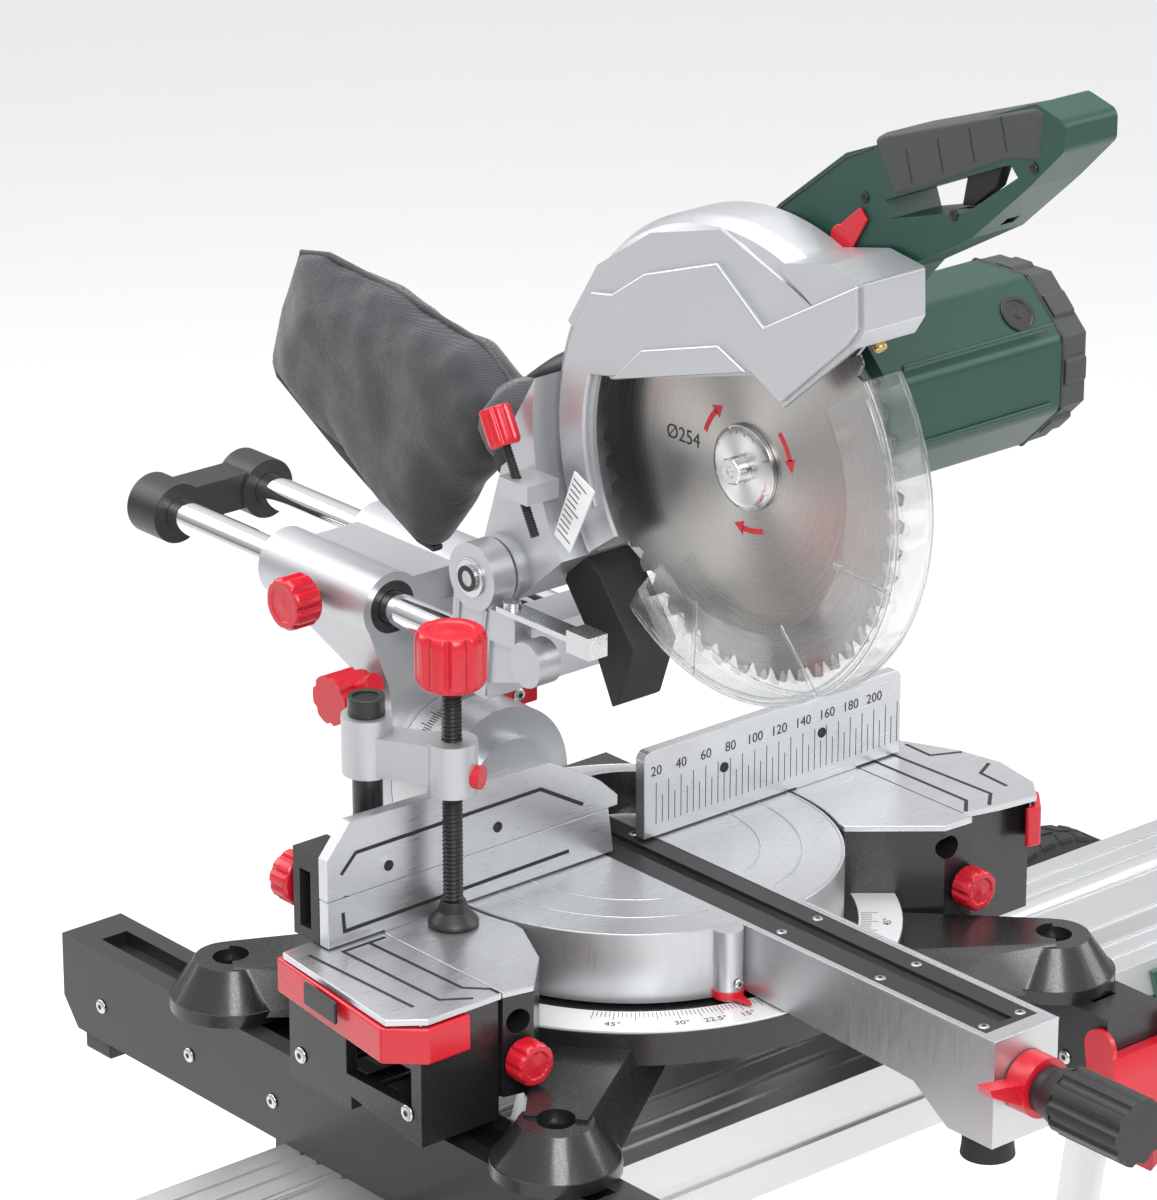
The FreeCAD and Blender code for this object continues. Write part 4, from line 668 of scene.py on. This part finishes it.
def extension_trims():
    """Red bumpers round the outer edges of both sliding table ends, bolts on their sides."""
    left = [(-252, 22), (-266.5, -92), (-247, -111), (-216, -111), (-216, -106), (-244, -106),
            (-261, -91), (-247, 22)]
    slab("left_bumper", left, "Z", (-27, -5), RED, "extension_left", 1.6, 3)
    notch = [(-258.6, -16), (-262.6, -50), (-265, -50), (-261, -16)]
    slab("left_bumper_notch", [(u - 1.2, v) for u, v in notch], "Z", (-18, -4.4), BLACK,
         "extension_left", 0.8)
    right = [(233, -104), (242, -106.5), (257.5, -89), (264, -52), (258, -20), (253.5, -21),
             (259, -52), (252.5, -86), (240, -101), (233, -101)]
    slab("right_bumper", right, "Z", (-33, -7), RED, "extension_right", 1.4, 3)
    for side, x, y in (("left", -249.2, 4), ("left", -249.2, -94), ("right", 246.2, 4),
                       ("right", 246.2, -76)):
        screw_head(f"side_bolt_{side}_{'rear' if y > 0 else 'front'}", (x, y, -62),
                   (x + (-1 if side == "left" else 1), y, -62), 5, f"extension_{side}")


# ---------------------------------------------------------------- knobs and threads
def hand_knobs():
    """Knobs, shafts and threads that stand in for the plain CAD ones."""
    red_knob("slide_knob_red", (-66, 228, 110), (-86, 228, 110), 17, "slide_knob")
    lathe("slide_knob_shaft", [(0, 3.6), (14, 3.6)], (-54, 228, 110), (-60, 228, 110), OXIDE,
          "slide_knob")
    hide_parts("slide_knob")
    red_knob("fence_knob_red", (-218, 37, 28), (-218, 53, 28), 16, "fence_knob", 10)
    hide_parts("fence_knob")
    lathe("fence_knob_shaft", [(0, 3), (24, 3)], (-218, 14, 28), (-218, 20, 28), OXIDE, "fence_knob")
    for side, x, y in (("left", -181, -112.2), ("right", 180, -103.7)):
        name = "extension_knob_" + side
        red_knob(name + "_red", (x, y, -42), (x, y - 15, -42), 13, name, 8)
        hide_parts(name)
    x, y = -152, -17
    red_knob("clamp_knob_red", (x, y, 150), (x, y, 184), 21, "clamp_screw", 10)
    thread("clamp_thread", (x, y, 13), (x, y, 152), 6.1, 5.0, 2.6, OXIDE, "clamp_screw")
    lathe("clamp_pad", [(0, 13), (0, 15), (1.6, 15), (4, 13.4), (8, 9.2), (12, 8.2), (14.5, 7.4)],
          (x, y, 1), (x, y, 10), BLACK, "clamp_screw", 0.3)
    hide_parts("clamp_screw")
    low, top = Vector((-55.5, 22.6, 205.5)), Vector((-55.5, 60, 276.2))
    along = (top - low).normalized()
    red_knob("depth_knob_red", tuple(top - along * 24), tuple(top), 10, "depth_screw", 8)
    thread("depth_thread", tuple(low), tuple(top - along * 22), 3.0, 2.4, 1.6, OXIDE, "depth_screw")
    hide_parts("depth_screw")


def clamp_details():
    """Cap over the top of the clamp post."""
    lathe("clamp_post_cap", [(0, 9.6), (0, 11), (11, 11), (11, 8), (4, 7), (4, 0.5)], (-177, 30, 124.5),
          (-177, 30, 130), BLACK, "clamp_arm", 0.5, 40)


# ---------------------------------------------------------------- head
def cover_details():
    """Raised face, lip and brass pin on the upper blade cover."""
    ring_in = [round_blade(113, degrees) for degrees in range(205, 161, -6)]
    ring_out = [round_blade(136, degrees) for degrees in range(142, 206, 6)]
    face = ([(-8, 306), (-131, 340), (-155, 328), (-208, 375), (-216, 386), (-215, 411), (-140, 369),
             (-101, 397), (-40, 376), (-12, 357)] + ring_out + ring_in)
    slab("cover_face", face, "X", (-27.5, -23), SILVER, "head", 1.6, 3)
    lip = [(-14, 306), (-41, 331), (-105, 350), (-129, 340)]
    slab("cover_lip", lip, "X", (-30, -27), SILVER, "head", 1.4, 3)
    lathe("cover_brass_pin", [(0, 4), (9, 4), (10, 3.4)], (0, -201, 374), (0, -209, 366), BRASS, "head",
          0.3, 24)


def blade_details():
    """Printed arrows and the size on the blade, bolt in the flange."""
    face = -1.36
    for middle in (150, 35, 265):
        stroke = arc(38, middle - 16, middle + 10, 8, (BLADE_Y, BLADE_Z))
        ribbons(f"blade_arrow_{middle}", [stroke], "X", (face - 0.04, face + 0.05), 3.4, RED_INK,
                "blade")
        tip = math.radians(middle + 21)
        base = math.radians(middle + 9)
        points = [(BLADE_Y + r * math.cos(a), BLADE_Z + r * math.sin(a))
                  for r, a in ((33.5, base), (42.5, base), (38, tip))]
        slab(f"blade_arrow_tip_{middle}", points, "X", (face - 0.04, face + 0.05), RED_INK, "blade", 0.0)
    numbers("blade_size", [("Ø254", (face - 0.05, -46, 274), (0, -1, 0), (0, 0, 1), 9)], INK, "blade")
    lathe("arbor_bolt", [(0, 8.5), (5, 8.5), (6, 7.6), (6, 4), (2, 3.6), (2, 0.4)], (-9, -101, 270),
          (-20, -101, 270), ZINC, "blade", 0.2, 6)


def guard_details():
    """Rims, ribs and inner line of the clear lower guard."""
    rim = [round_blade(136.6, degrees) for degrees in range(-128, 38, 3)]
    line = [round_blade(133, degrees) for degrees in range(-120, 34, 3)]
    strips = [(f"guard_rib_{index}", [round_blade(92, degrees), round_blade(137, degrees + 5)],
               (-15.2, -13.8), 2.4) for index, degrees in enumerate((-108, -62, -20))]
    strips += [("guard_rim_left", rim, (-14.7, -13.6), 2.0), ("guard_rim_right", rim, (11.6, 12.7), 2.0),
               ("guard_inner_line", line, (-14.8, -13.8), 1.2)]
    for name, stroke, span, width in strips:
        ribbons(name, [stroke], "X", span, width, CLEAR_EDGE, "lower_guard")


def motor_details():
    """Ribs, ridges, brush cap and seam of the motor, lugs on its end cap."""
    def spot(radius, turn):
        return Vector((MOTOR_Y + radius * math.cos(turn), MOTOR_Z + radius * math.sin(turn)))

    for degrees in range(0, 360, 45):
        for shift, letter in ((-0.05, "a"), (0.05, "b")):
            place = spot(54.5, math.radians(degrees + 22.5) + shift)
            pipe_run(f"motor_rib_{degrees}_{letter}", [(92, *place), (MOTOR_END - 6, *place)], 1.3, GREEN,
                     "head", False)
    turn = math.radians(135)
    cap = [(0, 12), (2.2, 12), (2.6, 11.4), (2.6, 9.4), (1.7, 8.8), (1.7, 3.2), (2.4, 2.8), (2.4, 0.4)]
    lathe("brush_cap", cap, (177, *spot(51.5, turn)), (177, *spot(60, turn)), BLACK, "head", 0.3, 40)
    for index in range(8):
        turn = 2 * math.pi * index / 8
        middle = spot(51.2, turn)
        across = Vector((-math.sin(turn), math.cos(turn)))
        out = Vector((math.cos(turn), math.sin(turn)))
        corners = [middle - across * 9, middle + across * 9, middle + across * 6.5 + out * 2.6,
                   middle - across * 6.5 + out * 2.6]
        slab(f"cap_lug_{index}", [tuple(c) for c in corners], "X", (MOTOR_END + 2, MOTOR_END + 19),
             CHARCOAL, "head", 0.9)
    ring = [tuple(spot(56.9, math.radians(22.5 + 45 * index))) for index in range(9)]
    ribbons("cap_seam", [ring], "X", (MOTOR_END - 1.2, MOTOR_END + 0.6), 1.0, BLACK, "head")
    flat_y = MOTOR_Y - 57 * math.cos(math.radians(22.5))
    for height in (278, 327):
        ribbons(f"motor_ridge_{height}", [[(70, height), (MOTOR_END - 10, height)]], "Y",
                (flat_y - 1.4, flat_y + 0.6), 3.2, GREEN, "head")


def handle_details():
    """Soft grip sleeve, seam and screws of the operating handle."""
    x0, x1 = HANDLE_X - 21.2, HANDLE_X + 21.2
    grip = [(-172, 475), (-190, 446), (-212, 455), (-277, 486), (-300, 490), (-303, 518), (-296, 520.5),
            (-180, 480)]
    slab("soft_grip", grip, "X", (x0, x1), CHARCOAL, "head", 5.0, 4)
    for index in range(4):
        y = -204 - index * 24
        z = 455 + index * 11.4
        ribbons(f"grip_line_{index}", [[(y, z + 2), (y + 5, z + 20)]], "X", (x0 - 0.3, x0 + 0.3), 1.0,
                BLACK, "head")
    ribbons("handle_seam", [[(-64, 388), (-97, 418), (-150, 459), (-172, 470)]], "X",
            (HANDLE_X - 20.5, HANDLE_X - 19.6), 0.9, BLACK, "head")
    for index, (y, z) in enumerate(((-166, 440), (-236, 446), (-296, 486), (-150, 400))):
        screw_head(f"handle_screw_{index}", (25.2, y, z), (20, y, z), 3.2, "head", OXIDE)


def carry_tube():
    """Black carrying tube behind the blade cover."""
    path = [(20, 150, 222), (20, 128, 240), (20, 100, 262), (21, 84, 274), (26, 60, 286), (34, 30, 296)]
    pipe_run("carry_tube", path, 13, BLACK, "head")


def mount_details():
    """Washers and sockets of the chop pivot, the depth scale and ribs on the ears."""
    for side in (-1, 1):
        lathe(f"chop_washer_{side}", [(0, 12), (1.6, 12), (2, 11)], (side * 63.5, 72, 168),
              (side * 70, 72, 168), ZINC, "carriage", 0.2)
        lathe(f"chop_socket_{side}", [(0, 8), (2.2, 8), (2.2, 5), (0.6, 4.6), (0.6, 0.4)],
              (side * 65.4, 72, 168), (side * 70, 72, 168), OXIDE, "carriage", 0.1, 32)
    plate = [(22, 204), (4, 248), (-14, 240), (8, 196)]
    slab("depth_scale_plate", plate, "X", (-41.6, -40.2), SCALE_WHITE, "head", 0.2)
    ticks = []
    for index in range(11):
        share = 0.06 + index * 0.088
        low = Vector((20, 206)).lerp(Vector((3, 246)), share)
        reach = 0.55 if index % 5 else 0.8
        ticks.append([tuple(low), tuple(low + Vector((-14, -8)) * reach)])
    ribbons("depth_scale_ticks", ticks, "X", (-41.75, -41.5), 0.7, INK, "head")
    for side in (-1, 1):
        ribbons(f"ear_rib_{side}", [[(92, 100), (86, 150)], [(69, 100), (61, 150)]], "X",
                (side * 61.5 - 0.8, side * 61.5 + 0.8), 2.6, SILVER, "carriage")


def bevel_details():
    """Bevel scale on the trunnion and its red pointer."""
    points, faces = [], []
    for degree in range(-4, 50, 2):
        turn = math.radians(90 + degree)
        faces += block_faces(len(points))
        for y in (148, 154 if degree % 10 else 158):
            for spread in (-0.006, 0.006):
                for radius in (51.9, 52.15):
                    points.append(at(-radius * math.cos(turn + spread - math.pi), y,
                                     radius * math.sin(turn + spread)))
    add_piece("bevel_ticks", mesh_from("bevel_ticks", points, faces), INK, "turntable")
    pointer = [(26, 34), (54, 34), (54, 52), (26, 48)]
    slab("bevel_pointer", pointer, "Y", (150, 182), RED, "bevel_arm", 1.5, 3)
    screw_head("bevel_pointer_screw", (38, 150, 42), (38, 140, 42), 4.5, "bevel_arm")


# ---------------------------------------------------------------- stand
def bracket_bolts():
    """Bright bolts on the green leg brackets; heights are above the floor."""
    spots = {"left": ((-486, 722), (-374, 722), (-430, 640), (-424, 582), (-396, 660)),
             "right": ((374, 722), (486, 722), (452, 640), (424, 582), (520, 586), (400, 660))}
    for side, places in spots.items():
        for facing, end in ENDS:
            y = RAIL_MIDDLE + facing * RAIL_SIDE
            for index, (x, height) in enumerate(places):
                screw_head(f"bracket_bolt_{side}_{end}_{index}", (x, y, height + FLOOR),
                           (x, y + facing, height + FLOOR), 5.2, "stand")


def arm_bolts():
    """Screws along both sides of the machine arms and stop pads under their rear ends."""
    for sign, side in SIDES:
        for cheek, face in ((-1, "in"), (1, "out")):
            x = sign * 200 + cheek * 22.5
            for index, y in enumerate((-196, -118, 68, 150, 240)):
                screw_head(f"arm_bolt_{side}_{face}_{index}", (x, y, -124), (x + cheek, y, -124), 4.6,
                           "stand")
        x = sign * 200
        pad = [(x - 20, 236), (x + 20, 236), (x + 20, 262), (x - 20, 262)]
        slab("arm_rear_pad_" + side, pad, "Z", (-160, -147.6), BLACK, "stand", 1.5)


def roller_ends():
    """Bearing covers and centre screws on the roller cheeks."""
    cover = [(0, 11), (2.4, 11), (3.2, 10), (3.2, 7.4), (1.4, 7.0), (1.4, 5.6)]
    for side, name in SIDES:
        x = side * 722
        for facing, end in ENDS:
            y = RAIL_MIDDLE + facing * 169
            lathe(f"roller_cover_{name}_{end}", cover, (x, y, -20), (x, y + facing, -20), BLACK,
                  f"roller_frame_{name}", 0.3, 40)
            screw_head(f"roller_screw_{name}_{end}", (x, y + facing * 3.0, -20),
                       (x, y + facing * 9, -20), 4.4, f"roller_frame_{name}")


def tyre_tread(name, y_middle, body):
    """Two staggered rows of tread blocks round a tyre."""
    points, faces = [], []
    count, low, high = 34, 93.5, 96.6
    for row in (-1, 1):
        for index in range(count):
            middle = 2 * math.pi * (index + (0.25 if row > 0 else -0.25)) / count
            faces += block_faces(len(points))
            for radius, half, reach in ((low, 0.066, 1.0), (high, 0.055, 0.92)):
                for y in (1.5, 15.5 * reach):
                    skew = 0.03 * (1 if y > 5 else -1)
                    for sign in (-1, 1):
                        turn = middle + sign * half + skew
                        points.append(Vector((WHEEL_X + radius * math.cos(turn), y_middle + row * y,
                                              WHEEL_HEIGHT + FLOOR + radius * math.sin(turn))))
    mesh = mesh_from(name, [at(*p) for p in points], faces)
    add_piece(name, mesh, TYRE, body, 0.5)


def wheel_details():
    """Tread and side beads of the tyres, bright caps on the axle."""
    z = WHEEL_HEIGHT + FLOOR
    bead = [(0, 70), (1.2, 70.6), (1.8, 72), (1.2, 73.4), (0, 74)]
    for facing, name in ENDS:
        y = RAIL_MIDDLE + facing * 210
        tyre_tread("wheel_tread_" + name, y, "wheel_" + name)
        for side, place in ((-1, "in"), (1, "out")):
            face = y + side * 18.9
            lathe(f"tyre_rim_{name}_{place}", bead, (WHEEL_X, face, z), (WHEEL_X, face + side, z), TYRE,
                  "wheel_" + name, 0.0, 64, hollow=True)
        cap = y + facing * 33
        lathe("axle_cap_" + name, [(0, 11), (2, 11), (3.4, 9), (3.8, 3)], (WHEEL_X, cap - facing * 4, z),
              (WHEEL_X, cap, z), ZINC, "stand", 0.0, 40)


# ---------------------------------------------------------------- dust bag
BAG_OUTLINE = [(84, 268), (120, 292), (200, 306), (268, 313), (296, 308), (312, 274), (326, 232), (322, 222),
               (260, 188), (180, 150), (160, 148), (128, 192), (100, 226)]


def bag_shell():
    """Closed shell of two fabric panels joined round their edges."""
    shape = bmesh.new()
    rings = []
    for level, inset in ((-1.0, 14), (-0.86, 6), (-0.4, 1.5), (0, 0), (0.4, 1.5), (0.86, 6), (1.0, 14)):
        centre = Vector((190, 236))
        ring = []
        for u, v in BAG_OUTLINE:
            place = Vector((u, v))
            place = place + (centre - place).normalized() * inset
            reach = max(0.0, min(1.0, (u - 84) / 210))
            half = 22 - 13 * reach
            ring.append(shape.verts.new(at(BAG_X + level * half, place.x, place.y)))
        rings.append(ring)
    count = len(BAG_OUTLINE)
    for low, high in zip(rings, rings[1:]):
        for i in range(count):
            j = (i + 1) % count
            shape.faces.new((low[i], low[j], high[j], high[i]))
    shape.faces.new(rings[0])
    shape.faces.new(list(reversed(rings[-1])))
    bmesh.ops.recalc_face_normals(shape, faces=shape.faces)
    mesh = bpy.data.meshes.new("bag")
    shape.to_mesh(mesh)
    shape.free()
    return mesh


def inflate(obj, frames, pressure, cap, slip):
    """Swell a closed mesh as cloth and keep the result.

    A point moves at most cap metres sideways (X) and slip metres in the plane of the panels.
    """
    start = [v.co.copy() for v in obj.data.vertices]
    cloth = obj.modifiers.new("cloth", "CLOTH")
    cloth.settings.use_pressure = True
    cloth.settings.uniform_pressure_force = pressure
    cloth.settings.effector_weights.gravity = 0.0
    cloth.settings.tension_stiffness = 25
    cloth.settings.bending_stiffness = 0.6
    scene = bpy.context.scene
    for number in range(1, frames + 1):
        scene.frame_set(number)
    swollen = bpy.data.meshes.new_from_object(obj.evaluated_get(bpy.context.evaluated_depsgraph_get()))
    moved = [v.co.copy() for v in swollen.vertices]
    obj.modifiers.remove(cloth)
    scene.frame_set(1)
    for vertex, old, new in zip(obj.data.vertices, start, moved):
        step = new - old
        bulge = max(-cap, min(cap, step.x))
        flat = Vector((0, step.y, step.z))
        if flat.length > slip:
            flat *= slip / flat.length
        vertex.co = old + flat + Vector((bulge, 0, 0))


def dust_bag():
    """Fabric bag: swollen by cloth simulation, with piped seams, a slide closure, a neck and a collar."""
    obj = bpy.data.objects.new("bag", bag_shell())
    bpy.context.scene.collection.objects.link(obj)
    remesh = obj.modifiers.new("even", "REMESH")
    remesh.mode = "VOXEL"
    remesh.voxel_size = 0.005
    bpy.context.view_layer.update()
    even = bpy.data.meshes.new_from_object(obj.evaluated_get(bpy.context.evaluated_depsgraph_get()))
    obj.modifiers.remove(remesh)
    obj.data = even
    inflate(obj, 20, 4.0, 0.009, 0.0015)
    for face in obj.data.polygons:
        face.use_smooth = True
    soft = obj.modifiers.new("soft", "SMOOTH")
    soft.iterations = 2
    finer = obj.modifiers.new("finer", "SUBSURF")
    finer.levels = 1
    finer.render_levels = 1
    folds = bpy.data.textures.new("bag_folds", "CLOUDS")
    folds.noise_scale = 0.045
    folds.noise_depth = 1
    crumple = obj.modifiers.new("crumple", "DISPLACE")
    crumple.texture = folds
    crumple.texture_coords = "LOCAL"
    crumple.strength = 0.007
    obj.data.materials.clear()
    obj.data.materials.append(FABRIC)
    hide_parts("dust_bag")
    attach(obj, "head")
    seam = [(BAG_X, y - 1.0, z - 2.0) for y, z in BAG_OUTLINE[:5]]
    pipe_run("bag_seam_top", seam, 1.9, FABRIC, "head", False)
    back = [(BAG_X, 294, 306), (BAG_X, 309, 273), (BAG_X, 321, 234)]
    pipe_run("bag_seam_back", back, 1.9, FABRIC, "head", False)
    strip = [(324, 230), (319, 219), (258, 185), (180, 148), (164, 146), (163, 150), (180, 153),
             (318, 226)]
    slab("bag_slide", strip, "X", (-18, -10), BLACK, "head", 1.5, 3)
    lathe("bag_neck", [(24, 25.2), (24, 26.6), (36, 27.2), (48, 25), (56, 19)], (-12, 54, 230),
          (-12, 84, 250), FABRIC, "head", 0.0, 48)
    lathe("bag_collar", [(0, 24.5), (0, 28), (3, 29.5), (9, 29.5), (12, 28), (12, 24.5)], (-12, 66, 238),
          (-12, 96, 257), RUBBER, "head", 0.8, 48, hollow=True)


bracket_bolts()
arm_bolts()
roller_ends()
wheel_details()
dust_bag()
table_inlays()
fence_marks()
mitre_marks()
turntable_details()
extension_trims()
hand_knobs()
clamp_details()
cover_details()
blade_details()
guard_details()
motor_details()
handle_details()
carry_tube()
mount_details()
bevel_details()


# ---------------------------------------------------------------- studio
LAMPS = (("key", (-1.6, -2.6, 3.2), 1.6, 85), ("fill", (2.8, -1.6, 2.2), 1.6, 35),
         ("top", (0.0, 0.6, 3.4), 2.4, 60), ("back", (-0.8, 3.0, 2.4), 1.8, 35))


def studio():
    """Pale floor, a world that darkens downwards and four soft lamps."""
    floor_mesh = bpy.data.meshes.new("studio_floor")
    reach = 14.0
    floor_mesh.from_pydata([(-reach, -reach, 0), (reach, -reach, 0), (reach, reach, 0), (-reach, reach, 0)],
                           [], [(0, 1, 2, 3)])
    floor = bpy.data.objects.new("studio_floor", floor_mesh)
    bpy.context.scene.collection.objects.link(floor)
    floor.location.z = cad_box[0][2]
    floor.data.materials.append(surface("studio_floor", (0.86, 0.86, 0.86), 0.0, 0.6, 0.03, 0.01, 0.01, 0.0))
    world = bpy.data.worlds.new("studio")
    bpy.context.scene.world = world
    world.use_nodes = True
    background = world.node_tree.nodes["Background"]
    tree = world.node_tree
    ramp = tree.nodes.new("ShaderNodeValToRGB")
    stops = ramp.color_ramp.elements
    stops[0].position, stops[0].color = 0.42, (0.10, 0.10, 0.105, 1)
    stops[1].position, stops[1].color = 0.80, (1.0, 1.0, 1.0, 1)
    split = tree.nodes.new("ShaderNodeSeparateXYZ")
    rise = tree.nodes.new("ShaderNodeMapRange")
    rise.inputs["From Min"].default_value = -1.0
    way = tree.nodes.new("ShaderNodeTexCoord")
    tree.links.new(way.outputs["Generated"], split.inputs[0])
    tree.links.new(split.outputs["Z"], rise.inputs["Value"])
    tree.links.new(rise.outputs["Result"], ramp.inputs["Fac"])
    seen = tree.nodes.new("ShaderNodeLightPath")
    backdrop = tree.nodes.new("ShaderNodeMix")
    backdrop.data_type = "RGBA"
    backdrop.inputs[7].default_value = (0.80, 0.80, 0.81, 1)
    tree.links.new(seen.outputs["Is Camera Ray"], backdrop.inputs[0])
    tree.links.new(ramp.outputs["Color"], backdrop.inputs[6])
    tree.links.new(backdrop.outputs[2], background.inputs["Color"])
    background.inputs["Strength"].default_value = 0.95
    for name, place, size, power in LAMPS:
        light = bpy.data.lights.new(name, "AREA")
        light.size = size
        light.energy = power
        lamp = bpy.data.objects.new(name, light)
        lamp.visible_camera = False
        bpy.context.scene.collection.objects.link(lamp)
        lamp.location = place
        lamp.rotation_euler = (Vector((0, 0, 1.0)) - Vector(place)).to_track_quat("-Z", "Y").to_euler()


def camera():
    """The camera at the photograph's viewing angle."""
    data = bpy.data.cameras.new("camera")
    data.lens = 163.985
    data.sensor_width = 36.0
    data.clip_end = 60.0
    eye = bpy.data.objects.new("camera", data)
    bpy.context.scene.collection.objects.link(eye)
    eye.location = at(-1983.7, -2267.4, 1321.2)
    aim = at(-41.566, 0, 169.149) - eye.location
    eye.rotation_euler = aim.to_track_quat("-Z", "Y").to_euler()
    bpy.context.scene.camera = eye


studio()
camera()
bpy.context.scene.view_settings.view_transform = "Standard"
